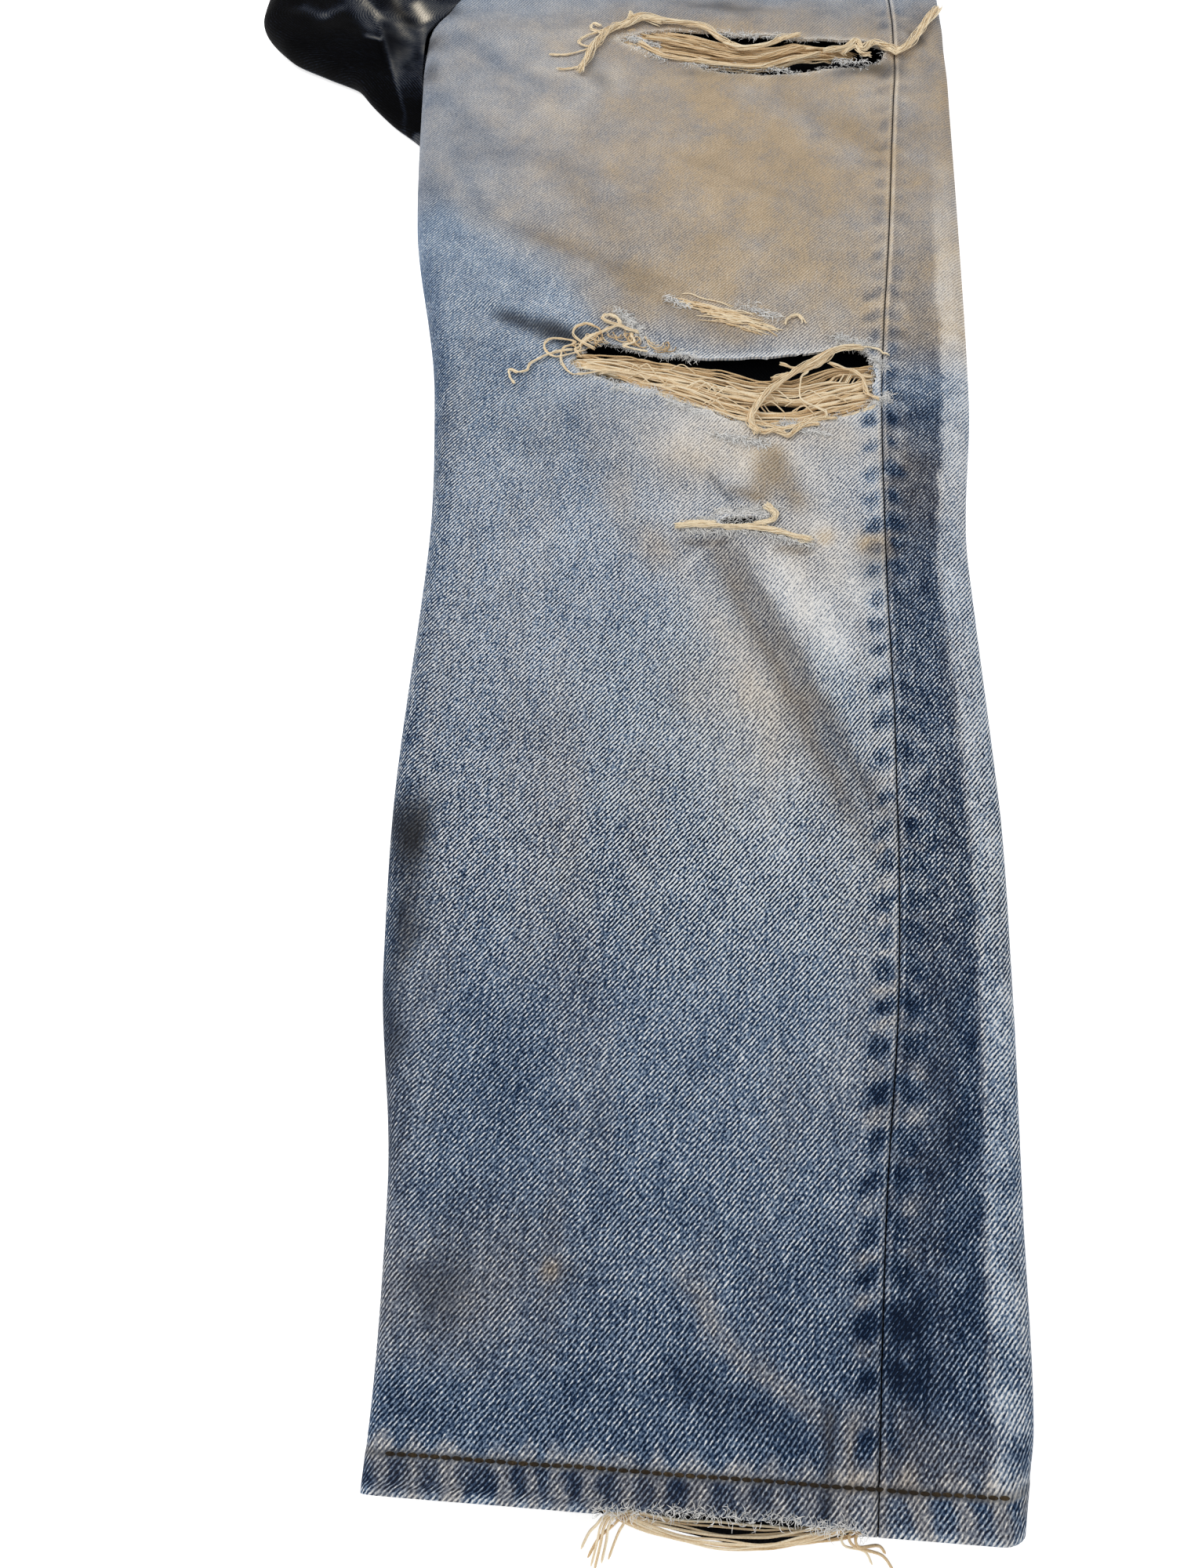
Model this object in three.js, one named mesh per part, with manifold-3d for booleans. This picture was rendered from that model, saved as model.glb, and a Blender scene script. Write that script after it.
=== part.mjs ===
// Ripped five-pocket jeans, folded in half lengthwise and lying on a surface.
// The wearer's left leg lies on top with its front up, the right leg lies under it,
// and the seat stands out at the crotch as a rounded lobe.
// Millimetres. +X is across the leg, +Y runs from hem to waist, +Z is up from the surface.
import * as THREE from 'three';
import { mergeVertices } from 'three/addons/utils/BufferGeometryUtils.js';
import Module from 'manifold-3d';

const wasm = await Module();
wasm.setup();

// Driving dimensions
const CLOTH = 1.4; // one layer of worn denim
const SEAM_GAP = 0.3; // clearance between pieces at a seam
const HEM = { height: 11, thickness: 2.6, pressed: 2 }; // turned up and stitched; thinner on the leg below
const WAISTBAND = { low: 913, high: 951, thickness: 2.6, pressed: 2 };
const UNDER_LEG_HEIGHT = 6.4; // right leg, pressed flat below
const UNDER_LEG_SIDE = 2.6; // radius of its outer edge, above and below the side seam
const LAYER_GAP = 0.4; // between the two legs
const UPPER_BASE = UNDER_LEG_HEIGHT + LAYER_GAP;
const INSEAM_TUCK = 14; // how far the left inseam lies below the inner fold
const FOLD_FADE = 22; // folds flatten out this close to the leg's edges

// Left half, on top: outline at heights above the hem.
// inner and outer are the leg's two edges, outseam the side seam that has rolled to the front,
// loft the height of the tube, curl how far round the inner edge the front panel reaches, in degrees.
const LEFT_HALF = [
  { up: 0, inner: -92.5, outer: 96, outseam: 55, loft: 12, curl: 180 },
  { up: 25, inner: -92, outer: 102, outseam: 58, loft: 12.6, curl: 180 },
  { up: 85, inner: -94, outer: 106.5, outseam: 64.5, loft: 13.2, curl: 180 },
  { up: 160, inner: -104, outer: 112.5, outseam: 74.5, loft: 13.2, curl: 180 },
  { up: 235, inner: -107.5, outer: 116.5, outseam: 80, loft: 13.2, curl: 180 },
  { up: 340, inner: -106, outer: 117, outseam: 84, loft: 13.2, curl: 180 },
  { up: 430, inner: -112, outer: 127, outseam: 89, loft: 13.4, curl: 180 },
  { up: 540, inner: -131, outer: 134, outseam: 101, loft: 13.6, curl: 180 },
  { up: 640, inner: -138.5, outer: 139.5, outseam: 111, loft: 13.6, curl: 180 },
  { up: 668, inner: -140, outer: 141, outseam: 114, loft: 13.6, curl: 150 },
  { up: 690, inner: -140, outer: 142, outseam: 115, loft: 13.4, curl: 70 },
  { up: 712, inner: -135, outer: 143, outseam: 116, loft: 13.2, curl: 0 },
  { up: 745, inner: -119, outer: 143, outseam: 116, loft: 13, curl: 0 },
  { up: 790, inner: -104, outer: 140, outseam: 114, loft: 12.6, curl: 0 },
  { up: 850, inner: -94, outer: 132, outseam: 107, loft: 12.2, curl: 0 },
  { up: 913, inner: -85, outer: 121, outseam: 97, loft: 12, curl: 0 },
  { up: 951, inner: -81, outer: 116, outseam: 92, loft: 12, curl: 0 },
];

// Right half, folded under. inner reaches out as the seat's lobe above the crotch.
// rise is how high its inner fold comes up, and reach where the front panel ends on top of it:
// at the inseam on the leg, and at the centre front beside the left panel above the crotch.
const RIGHT_HALF = [
  { up: 0, inner: -88, outer: 93, rise: 6.4, reach: -78 },
  { up: 25, inner: -88, outer: 98, rise: 6.4, reach: -78 },
  { up: 85, inner: -90, outer: 102, rise: 6.4, reach: -80 },
  { up: 160, inner: -100, outer: 108, rise: 6.4, reach: -90 },
  { up: 235, inner: -103, outer: 112, rise: 6.4, reach: -93 },
  { up: 340, inner: -102, outer: 112, rise: 6.4, reach: -92 },
  { up: 430, inner: -108, outer: 122, rise: 6.4, reach: -98 },
  { up: 540, inner: -127, outer: 129, rise: 6.4, reach: -117 },
  { up: 615, inner: -137, outer: 134, rise: 6.4, reach: -127 },
  { up: 638, inner: -157, outer: 135, rise: 6.6, reach: -136 },
  { up: 652, inner: -169, outer: 136, rise: 9.6, reach: -139.2 },
  { up: 666, inner: -180, outer: 136, rise: 13.4, reach: -141.2 },
  { up: 678, inner: -202, outer: 137, rise: 17, reach: -141.2 },
  { up: 690, inner: -222, outer: 137, rise: 19.4, reach: -140.6 },
  { up: 712, inner: -236, outer: 138, rise: 20, reach: -129.4 },
  { up: 745, inner: -234, outer: 138, rise: 19.8, reach: -113.3 },
  { up: 790, inner: -208, outer: 135, rise: 19.4, reach: -98.1 },
  { up: 850, inner: -160, outer: 127, rise: 19, reach: -88.3 },
  { up: 913, inner: -121, outer: 116, rise: 18.8, reach: -79.4 },
  { up: 951, inner: -112, outer: 111, rise: 18.8, reach: -75.4 },
];
const BACK_PANEL_SEAT = 17; // back panels stop this far inside the seat's lobe
const SEAT_STATION = 716; // the back panels have turned from inseam to seat by here
const CROTCH_STATION = 680; // and begin to turn here

// Largest folds of the upper side: a line from one point to another, its half-width and height.
const FOLDS = [
  { x0: 18, up0: 338, x1: 72, up1: 232, half: 9, height: -2.6 }, // diagonal trough under the knee
  { x0: 2, up0: 330, x1: 44, up1: 236, half: 12, height: 2.0 },
  { x0: 48, up0: 350, x1: 82, up1: 262, half: 10, height: 1.6 },
  { x0: -8, up0: 96, x1: 46, up1: 36, half: 12, height: 1.6 }, // pull above the hem
  { x0: -60, up0: 474, x1: 80, up1: 468, half: 14, height: 1.8 }, // lip above the knee rip
  { x0: -30, up0: 716, x1: 100, up1: 710, half: 12, height: 1.6 }, // lip above the thigh rip
  { x0: -70, up0: 640, x1: 70, up1: 560, half: 34, height: 1.5 },
  { x0: -110, up0: 560, x1: -40, up1: 470, half: 16, height: 1.3 },
];
// Creases of the crumpled seat beside the crotch.
const SEAT_FOLDS = [
  { x0: -212, up0: 706, x1: -172, up1: 676, half: 8, height: 2.2 },
  { x0: -186, up0: 735, x1: -160, up1: 690, half: 6, height: 2.4 },
  { x0: -160, up0: 742, x1: -145, up1: 700, half: 6, height: -2.0 },
];

// Rips cut through the left front panel: corner points of each torn edge.
const RIPS = {
  knee: [
    [-56, 446], [-38, 458], [-14, 452], [11, 450], [40, 451], [70, 458], [82, 460],
    [85, 433], [66, 413], [32, 410], [4, 422], [-24, 428], [-46, 433],
  ],
  thigh: [
    [-30, 690], [-4, 697], [26, 692], [56, 691], [82, 692], [106, 684],
    [93, 672], [72, 668], [46, 659], [13, 663], [-18, 675],
  ],
  shin: [[14, 356], [24, 360.5], [36, 359.5], [40, 356], [28, 354.5]],
  hem: [[-24, -4], [-20, 4], [0, 5.5], [22, 4.5], [44, 5], [50, 3], [52, -4]],
};

// Bundles of loose weft left across the rips, each row one band of parallel threads.
const WEFT_BANDS = {
  knee: { left: -64, right: 93, low: 415, high: 447, slant: -9, threads: 13, bow: 2.2 },
  thigh: { left: -40, right: 112, low: 668, high: 688, slant: -6, threads: 8, bow: 1.6 },
};
const THREAD = { radius: 0.55, clearance: 0.8, steps: 7 };
const ROOT_STRIP = { width: 6, thickness: 1.4 };

const WAIST_BUTTON = { radius: 8.5, height: 3.2, inset: 12 };
const BELT_LOOP = { width: 10, thickness: 1.4, stand: 1.6, overhang: 6 };
const BELT_LOOP_PLACES = { front: -6, side: 78 };
const POCKET = { mouth: 86, depth: 62, facingMargin: 12 };
const FLY_SHIELD = { width: 34, low: 770 };

const DENIM = { color: 0x6f8199, roughness: 0.92, metalness: 0 };
const DARK_DENIM = { color: 0x2c3440, roughness: 0.9, metalness: 0 };
const COTTON = { color: 0xd9c7a3, roughness: 0.95, metalness: 0 };
const METAL = { color: 0x9a8560, roughness: 0.45, metalness: 0.9 };

// Tables and curves

function smoothStep(low, high, value) {
  const t = THREE.MathUtils.clamp((value - low) / (high - low), 0, 1);
  return t * t * (3 - 2 * t);
}

// A table's column at any height, by a monotone cubic through its rows.
function column(table, name, up) {
  const last = table.length - 1;
  if (up <= table[0].up) return table[0][name];
  if (up >= table[last].up) return table[last][name];
  const i = table.findIndex((row, k) => k < last && up <= table[k + 1].up);
  const slope = (k) => (table[k + 1][name] - table[k][name]) / (table[k + 1].up - table[k].up);
  const tangent = (k) => {
    if (k === 0) return slope(0);
    if (k === last) return slope(last - 1);
    const [before, after] = [slope(k - 1), slope(k)];
    return before * after <= 0 ? 0 : (2 * before * after) / (before + after);
  };
  const span = table[i + 1].up - table[i].up;
  const t = (up - table[i].up) / span;
  const [a, b] = [table[i][name], table[i + 1][name]];
  return (
    a * (1 + 2 * t) * (1 - t) ** 2 +
    b * t * t * (3 - 2 * t) +
    span * (tangent(i) * t * (1 - t) ** 2 - tangent(i + 1) * t * t * (1 - t))
  );
}

// Height that a table of folds adds at a place, each fold tapering towards its ends.
function foldHeight(folds, x, up) {
  let height = 0;
  for (const fold of folds) {
    const along = new THREE.Vector2(fold.x1 - fold.x0, fold.up1 - fold.up0);
    const from = new THREE.Vector2(x - fold.x0, up - fold.up0);
    const t = from.dot(along) / along.lengthSq();
    const off = Math.abs(from.cross(along)) / along.length();
    const taper = smoothStep(-0.25, 0.15, t) * smoothStep(1.25, 0.85, t);
    height += fold.height * taper * Math.exp(-((off / fold.half) ** 2));
  }
  return height;
}

// Upper side of the left half.
function upperHeight(x, up) {
  const inner = column(LEFT_HALF, 'inner', up);
  const outer = column(LEFT_HALF, 'outer', up);
  const fade = smoothStep(0, FOLD_FADE, x - inner) * smoothStep(0, FOLD_FADE, outer - x);
  return UPPER_BASE + column(LEFT_HALF, 'loft', up) + fade * foldHeight(FOLDS, x, up);
}

// Panel sections
// Each is a line of points in the XZ plane, clockwise as seen from the hem, so that its left side is outside.

function arc(centre, radius, fromDegrees, toDegrees, steps) {
  const points = [];
  for (let k = 0; k <= steps; k++) {
    const angle = THREE.MathUtils.degToRad(fromDegrees + ((toDegrees - fromDegrees) * k) / steps);
    points.push(new THREE.Vector2(centre.x + radius * Math.cos(angle), centre.y + radius * Math.sin(angle)));
  }
  return points;
}

function level(fromX, toX, heightAt, steps) {
  const points = [];
  for (let k = 0; k <= steps; k++) {
    const x = fromX + ((toX - fromX) * k) / steps;
    points.push(new THREE.Vector2(x, heightAt(x)));
  }
  return points;
}

// Stretches joined end to end, without their doubled points.
function joined(...stretches) {
  return stretches.flatMap((stretch, k) => (k === 0 ? stretch : stretch.slice(1)));
}

function frontLeftSection(up) {
  const [inner, loft, curl] = ['inner', 'loft', 'curl'].map((name) => column(LEFT_HALF, name, up));
  const radius = loft / 2;
  const centre = new THREE.Vector2(inner + radius, UPPER_BASE + radius);
  const tuck = INSEAM_TUCK * smoothStep(150, 180, curl);
  const fold = arc(centre, radius, 90 + curl, 90, 16);
  const top = level(inner + radius, column(LEFT_HALF, 'outseam', up), (x) => upperHeight(x, up), 60);
  if (tuck <= radius) return joined(fold, top);
  return joined(level(inner + tuck, inner + radius, () => UPPER_BASE, 4), fold, top);
}

function backEnd(up) {
  const inseam = column(LEFT_HALF, 'inner', up) + INSEAM_TUCK + SEAM_GAP;
  const seat = column(RIGHT_HALF, 'inner', up) + BACK_PANEL_SEAT;
  return THREE.MathUtils.lerp(inseam, seat, smoothStep(CROTCH_STATION, SEAT_STATION, up));
}

function backLeftSection(up, fromX = column(LEFT_HALF, 'outseam', up) + SEAM_GAP) {
  const outer = column(LEFT_HALF, 'outer', up);
  const radius = column(LEFT_HALF, 'loft', up) / 2;
  const centre = new THREE.Vector2(outer - radius, UPPER_BASE + radius);
  return joined(
    level(fromX, outer - radius, (x) => upperHeight(x, up), 3),
    arc(centre, radius, 90, -90, 6),
    level(outer - radius, backEnd(up), () => UPPER_BASE, 4));
}

function frontRightSection(up) {
  const [inner, outer, rise, reach] = ['inner', 'outer', 'rise', 'reach']
    .map((name) => column(RIGHT_HALF, name, up));
  const foldRadius = rise / 2;
  const crumple = smoothStep(UNDER_LEG_HEIGHT + 4, UNDER_LEG_HEIGHT + 12, rise);
  const edge = (x) => smoothStep(0, 12, x - inner - foldRadius) * smoothStep(0, 12, reach - x);
  const crumpled = (x) => rise + crumple * edge(x) * foldHeight(SEAT_FOLDS, x, up);
  return [
    new THREE.Vector2(outer, (UNDER_LEG_HEIGHT - SEAM_GAP) / 2),
    ...joined(
      arc(new THREE.Vector2(outer - UNDER_LEG_SIDE, UNDER_LEG_SIDE), UNDER_LEG_SIDE, 0, -90, 3),
      level(outer - UNDER_LEG_SIDE, inner + foldRadius, () => 0, 3),
      arc(new THREE.Vector2(inner + foldRadius, foldRadius), foldRadius, 270, 90, 5),
      level(inner + foldRadius, Math.max(reach, inner + foldRadius + 1), crumpled, 5)),
  ];
}

// The right back panel ends at the inseam on the leg, and inside the seat's lobe above it.
function backRightSection(up) {
  const [inner, outer, rise, reach] = ['inner', 'outer', 'rise', 'reach']
    .map((name) => column(RIGHT_HALF, name, up));
  const lift = smoothStep(UNDER_LEG_HEIGHT, UNDER_LEG_HEIGHT + 1, rise);
  const insideLobe = smoothStep(UNDER_LEG_HEIGHT + 2.6, UNDER_LEG_HEIGHT + 6.6, rise);
  const inseam = reach + SEAM_GAP * (1 + 2 * lift);
  const start = THREE.MathUtils.lerp(inseam, inner + BACK_PANEL_SEAT, insideLobe);
  const side = new THREE.Vector2(outer - UNDER_LEG_SIDE, UNDER_LEG_HEIGHT - UNDER_LEG_SIDE);
  return [
    ...joined(level(start, side.x, () => UNDER_LEG_HEIGHT, 4), arc(side, UNDER_LEG_SIDE, 90, 0, 3)),
    new THREE.Vector2(outer, (UNDER_LEG_HEIGHT + SEAM_GAP) / 2),
  ];
}

// Points along a section, close together over its first fineLength and wide apart after it.
function spaced(section, fineLength, fineCount, coarseCount) {
  const lengths = [0];
  for (let k = 1; k < section.length; k++) {
    lengths.push(lengths[k - 1] + section[k].distanceTo(section[k - 1]));
  }
  const total = lengths[lengths.length - 1];
  const wanted = [];
  for (let k = 0; k < fineCount; k++) wanted.push((fineLength * k) / fineCount);
  for (let k = 0; k <= coarseCount; k++) wanted.push(fineLength + ((total - fineLength) * k) / coarseCount);
  return wanted.map((length) => {
    const k = Math.max(1, lengths.findIndex((value) => value >= Math.min(length, total)));
    const t = (length - lengths[k - 1]) / (lengths[k] - lengths[k - 1] || 1);
    return section[k - 1].clone().lerp(section[k], THREE.MathUtils.clamp(t, 0, 1));
  });
}

function range(from, to, step) {
  const count = Math.max(1, Math.round((to - from) / step));
  return Array.from({ length: count + 1 }, (_, k) => from + ((to - from) * k) / count);
}

// Walls

function geometryOf(vertices, triangles) {
  const geometry = new THREE.BufferGeometry();
  geometry.setAttribute('position', new THREE.Float32BufferAttribute(vertices, 3));
  geometry.setIndex(triangles);
  return geometry;
}

// A cloth wall under a grid of outer points: rows run up the garment, columns across it.
function wall(grid, thicknessAt) {
  const [rows, columns] = [grid.length, grid[0].length];
  const at = (i, j) => grid[THREE.MathUtils.clamp(i, 0, rows - 1)][THREE.MathUtils.clamp(j, 0, columns - 1)];
  const vertices = [];
  const inside = [];
  for (let i = 0; i < rows; i++) {
    for (let j = 0; j < columns; j++) {
      const across = at(i, j + 1).clone().sub(at(i, j - 1));
      const along = at(i + 1, j).clone().sub(at(i - 1, j));
      const normal = across.cross(along).normalize();
      vertices.push(...at(i, j).toArray());
      inside.push(...at(i, j).clone().addScaledVector(normal, -thicknessAt(at(i, j).y)).toArray());
    }
  }
  vertices.push(...inside);
  const outer = (i, j) => i * columns + j;
  const inner = (i, j) => rows * columns + i * columns + j;
  const triangles = [];
  const quad = (a, b, c, d) => triangles.push(a, b, c, a, c, d);
  for (let i = 0; i < rows - 1; i++) {
    for (let j = 0; j < columns - 1; j++) {
      quad(outer(i, j), outer(i, j + 1), outer(i + 1, j + 1), outer(i + 1, j));
      quad(inner(i, j), inner(i + 1, j), inner(i + 1, j + 1), inner(i, j + 1));
    }
    quad(outer(i, 0), outer(i + 1, 0), inner(i + 1, 0), inner(i, 0));
    const j = columns - 1;
    quad(outer(i, j), inner(i, j), inner(i + 1, j), outer(i + 1, j));
  }
  for (let j = 0; j < columns - 1; j++) {
    quad(outer(0, j), inner(0, j), inner(0, j + 1), outer(0, j + 1));
    const i = rows - 1;
    quad(outer(i, j), outer(i, j + 1), inner(i, j + 1), inner(i, j));
  }
  return geometryOf(vertices, triangles);
}

function panel(sectionAt, stations, thicknessAt) {
  const grid = stations.map((up) => sectionAt(up).map((point) => new THREE.Vector3(point.x, up, point.y)));
  return wall(grid, thicknessAt);
}

const legThickness = (up) => (up <= HEM.height ? HEM.thickness : CLOTH);
const underLegThickness = (up) => (up <= HEM.height ? HEM.pressed : CLOTH);

function stationsFor(legStep, crotchStep, torsoStep) {
  const top = WAISTBAND.low - SEAM_GAP;
  return [
    0, HEM.height,
    ...range(HEM.height + 0.6, 610, legStep),
    ...range(610, 745, crotchStep).slice(1),
    ...range(745, top, torsoStep).slice(1),
  ];
}

const LEFT_STATIONS = stationsFor(24, 11, 24);
const RIGHT_STATIONS = stationsFor(48, 11, 24);
const WAISTBAND_STATIONS = range(WAISTBAND.low, WAISTBAND.high, WAISTBAND.high - WAISTBAND.low);

// Joins and cuts

function solidOf(geometry) {
  const plain = geometry.clone();
  plain.deleteAttribute('normal');
  plain.deleteAttribute('uv');
  const merged = mergeVertices(plain, 1e-4);
  return new wasm.Manifold(new wasm.Mesh({
    numProp: 3,
    vertProperties: new Float32Array(merged.attributes.position.array),
    triVerts: new Uint32Array(merged.index.array),
  }));
}

function geometryFrom(solid) {
  const mesh = solid.getMesh();
  return geometryOf(Array.from(mesh.vertProperties), Array.from(mesh.triVerts));
}

// A prism over an outline in the XY plane, for cutting the upper layer only.
function prism(outline, low, high) {
  const shape = new THREE.Shape(outline.map(([x, up]) => new THREE.Vector2(x, up)));
  const geometry = new THREE.ExtrudeGeometry(shape, { depth: high - low, bevelEnabled: false });
  return solidOf(geometry.translate(0, 0, low));
}

const LAYER_CUT = { low: 12.5, high: 40 };

// Pieces

function pocketMouth(margin) {
  const points = [];
  const top = WAISTBAND.low + 2;
  const sideUp = WAISTBAND.low - POCKET.depth;
  for (let k = 0; k <= 8; k++) {
    const angle = (Math.PI / 2) * (k / 8);
    const up = top - (top - sideUp + margin) * Math.sin(angle);
    const seam = column(LEFT_HALF, 'outseam', up) + 4;
    points.push([seam - (POCKET.mouth + margin) * Math.cos(angle), up]);
  }
  return [...points, [column(LEFT_HALF, 'outseam', top) + 4, top]];
}

function frontLeft() {
  const section = (up) => spaced(frontLeftSection(up), 40, 7, 12);
  const whole = panel(section, LEFT_STATIONS, legThickness);
  let solid = solidOf(whole);
  for (const outline of [...Object.values(RIPS), pocketMouth(0)]) {
    solid = solid.subtract(prism(outline, LAYER_CUT.low, LAYER_CUT.high));
  }
  return geometryFrom(solid);
}

// A patch of cloth that follows the left half's upper side, moved in from it.
function patchBelow(fromX, toX, lowUp, highUp, depth, steps) {
  const grid = range(lowUp, highUp, (highUp - lowUp) / steps.up).map((up) =>
    range(0, 1, 1 / steps.across).map((t) => {
      const x = THREE.MathUtils.lerp(fromX(up), toX(up), t);
      return new THREE.Vector3(x, up, upperHeight(x, up) - depth);
    }));
  return wall(grid, () => CLOTH);
}

function pocketFacing() {
  const seam = (up) => column(LEFT_HALF, 'outseam', up);
  return patchBelow(
    (up) => seam(up) - POCKET.mouth - POCKET.facingMargin, (up) => seam(up),
    WAISTBAND.low - POCKET.depth - POCKET.facingMargin, WAISTBAND.low - SEAM_GAP,
    CLOTH + SEAM_GAP, { up: 6, across: 6 });
}

function flyShield() {
  const centreFront = (up) => column(LEFT_HALF, 'inner', up) + column(LEFT_HALF, 'loft', up) / 2;
  return patchBelow(
    (up) => centreFront(up) - FLY_SHIELD.width / 3, (up) => centreFront(up) + (FLY_SHIELD.width * 2) / 3,
    FLY_SHIELD.low, WAISTBAND.low - SEAM_GAP, CLOTH + SEAM_GAP + 0.4, { up: 6, across: 3 });
}

function waistbandLeft() {
  const section = (up) => {
    const front = spaced(frontLeftSection(up), 40, 4, 8);
    return joined(front, backLeftSection(up, front[front.length - 1].x));
  };
  return panel(section, WAISTBAND_STATIONS, () => WAISTBAND.thickness);
}

function waistbandRight() {
  return panel(frontRightSection, WAISTBAND_STATIONS, () => WAISTBAND.pressed);
}

function waistbandBackRight() {
  return panel(backRightSection, WAISTBAND_STATIONS, () => CLOTH);
}

// A strap over the waistband that stands off it in the middle.
function beltLoop(centreX) {
  const lows = WAISTBAND.low - BELT_LOOP.overhang;
  const highs = WAISTBAND.high - 2;
  const grid = range(lows, highs, (highs - lows) / 8).map((up, k) =>
    range(-0.5, 0.5, 0.5).map((t) => {
      const x = centreX + t * BELT_LOOP.width;
      const stand = SEAM_GAP + BELT_LOOP.stand * Math.sin((Math.PI * k) / 8) ** 0.6;
      return new THREE.Vector3(x, up, upperHeight(x, up) + stand + BELT_LOOP.thickness);
    }));
  return wall(grid, () => BELT_LOOP.thickness);
}

function buttonPlace() {
  const up = (WAISTBAND.low + WAISTBAND.high) / 2;
  const centreFront = column(LEFT_HALF, 'inner', up) + column(LEFT_HALF, 'loft', up) / 2;
  const x = centreFront + WAIST_BUTTON.inset;
  return new THREE.Vector3(x, up, upperHeight(x, up) + SEAM_GAP);
}

// A shank button: a short stem and a domed cap with a rolled rim.
function waistButton() {
  const { radius, height } = WAIST_BUTTON;
  const profile = [
    [0, 0], [radius * 0.45, 0], [radius * 0.45, height * 0.35], [radius * 0.92, height * 0.35],
    [radius, height * 0.6], [radius * 0.94, height * 0.9], [radius * 0.8, height * 0.84],
    [radius * 0.4, height], [0, height],
  ].map(([r, z]) => new THREE.Vector2(r, z));
  const place = buttonPlace();
  return new THREE.LatheGeometry(profile, 20).rotateX(Math.PI / 2).translate(place.x, place.y, place.z);
}

// Loose threads

function strand(points, steps = THREAD.steps, radius = THREAD.radius) {
  const curve = new THREE.CatmullRomCurve3(points);
  const square = new THREE.Shape([[1, 0], [0, 1], [-1, 0], [0, -1]]
    .map(([a, b]) => new THREE.Vector2(a * radius, b * radius)));
  return solidOf(new THREE.ExtrudeGeometry(square, { steps, extrudePath: curve, bevelEnabled: false }));
}

// Depth of a thread's middle line below the cloth's outer face.
const THREAD_DEPTH = CLOTH + THREAD.clearance + ROOT_STRIP.thickness / 2;

function rootStrip(x, low, high) {
  const across = ROOT_STRIP.width / 2;
  const depth = CLOTH + THREAD.clearance;
  const grid = range(low, high, (high - low) / 5).map((up) =>
    [x - across, x + across].map((px) => new THREE.Vector3(px, up, upperHeight(px, up) - depth)));
  return solidOf(wall(grid, () => ROOT_STRIP.thickness));
}

// Weft threads that still cross a rip, rooted in a strip of cloth under each end.
function weftBand(band) {
  const margin = 4;
  const rightLow = band.low + band.slant;
  const solids = [
    rootStrip(band.left, band.low - margin, band.high + margin),
    rootStrip(band.right, rightLow - margin, band.high + band.slant + margin),
  ];
  for (let k = 0; k < band.threads; k++) {
    const from = THREE.MathUtils.lerp(band.low, band.high, k / (band.threads - 1));
    const points = range(0, 1, 0.125).map((t) => {
      const x = THREE.MathUtils.lerp(band.left, band.right, t);
      const wander = 0.5 * Math.sin(9 * t + 2.1 * k);
      const up = from + band.slant * t - band.bow * Math.sin(Math.PI * t) + wander * Math.sin(Math.PI * t);
      return new THREE.Vector3(x, up, upperHeight(x, up) - THREAD_DEPTH);
    });
    solids.push(strand(points));
  }
  return geometryFrom(wasm.Manifold.union(solids));
}

// Threads of the worn-through hem: swags below the torn edge, and loose tails at its ends.
const HEM_SWAGS = [
  { from: -20, to: 46, sag: 5.5, drop: 3 },
  { from: -17, to: 40, sag: 7.5, drop: 5 },
  { from: -22, to: 50, sag: 3.5, drop: 1.5 },
];
const HEM_TAILS = [
  { x: -19, leanX: -9, reach: 15, drop: 12 },
  { x: -15, leanX: -7, reach: 12, drop: 11 },
  { x: 47, leanX: 10, reach: 11, drop: 11 },
  { x: 50, leanX: 13, reach: 8, drop: 8 },
];

function hemThreads() {
  const rootUp = 7.5;
  const stripZ = UPPER_BASE + column(LEFT_HALF, 'loft', 0) - HEM.thickness - THREAD.clearance;
  const rootZ = stripZ - ROOT_STRIP.thickness / 2;
  const stripGrid = [rootUp - 1.5, rootUp + 1.5].map((up) =>
    range(-30, 58, 22).map((x) => new THREE.Vector3(x, up, stripZ)));
  const solids = [solidOf(wall(stripGrid, () => ROOT_STRIP.thickness))];
  const start = (x) => [new THREE.Vector3(x, rootUp, rootZ), new THREE.Vector3(x, 3, rootZ - 0.1)];
  for (const swag of HEM_SWAGS) {
    const middle = range(0.12, 0.88, 0.19).map((t) => new THREE.Vector3(
      THREE.MathUtils.lerp(swag.from, swag.to, t), 1 - swag.sag * Math.sin(Math.PI * t),
      rootZ - swag.drop * Math.sin(Math.PI * t)));
    solids.push(strand([...start(swag.from), ...middle, ...start(swag.to).reverse()], 12));
  }
  for (const tail of HEM_TAILS) {
    const end = (t) => new THREE.Vector3(tail.x + tail.leanX * t, 2 - tail.reach * t, rootZ - tail.drop * t * t);
    solids.push(strand([...start(tail.x), end(0.35), end(0.7), end(1)], 6));
  }
  return geometryFrom(wasm.Manifold.union(solids));
}

// Assembly

const garment = new THREE.Group();

function add(name, geometry, finish) {
  const mesh = new THREE.Mesh(geometry, new THREE.MeshStandardMaterial(finish));
  mesh.name = name;
  garment.add(mesh);
}

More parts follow.
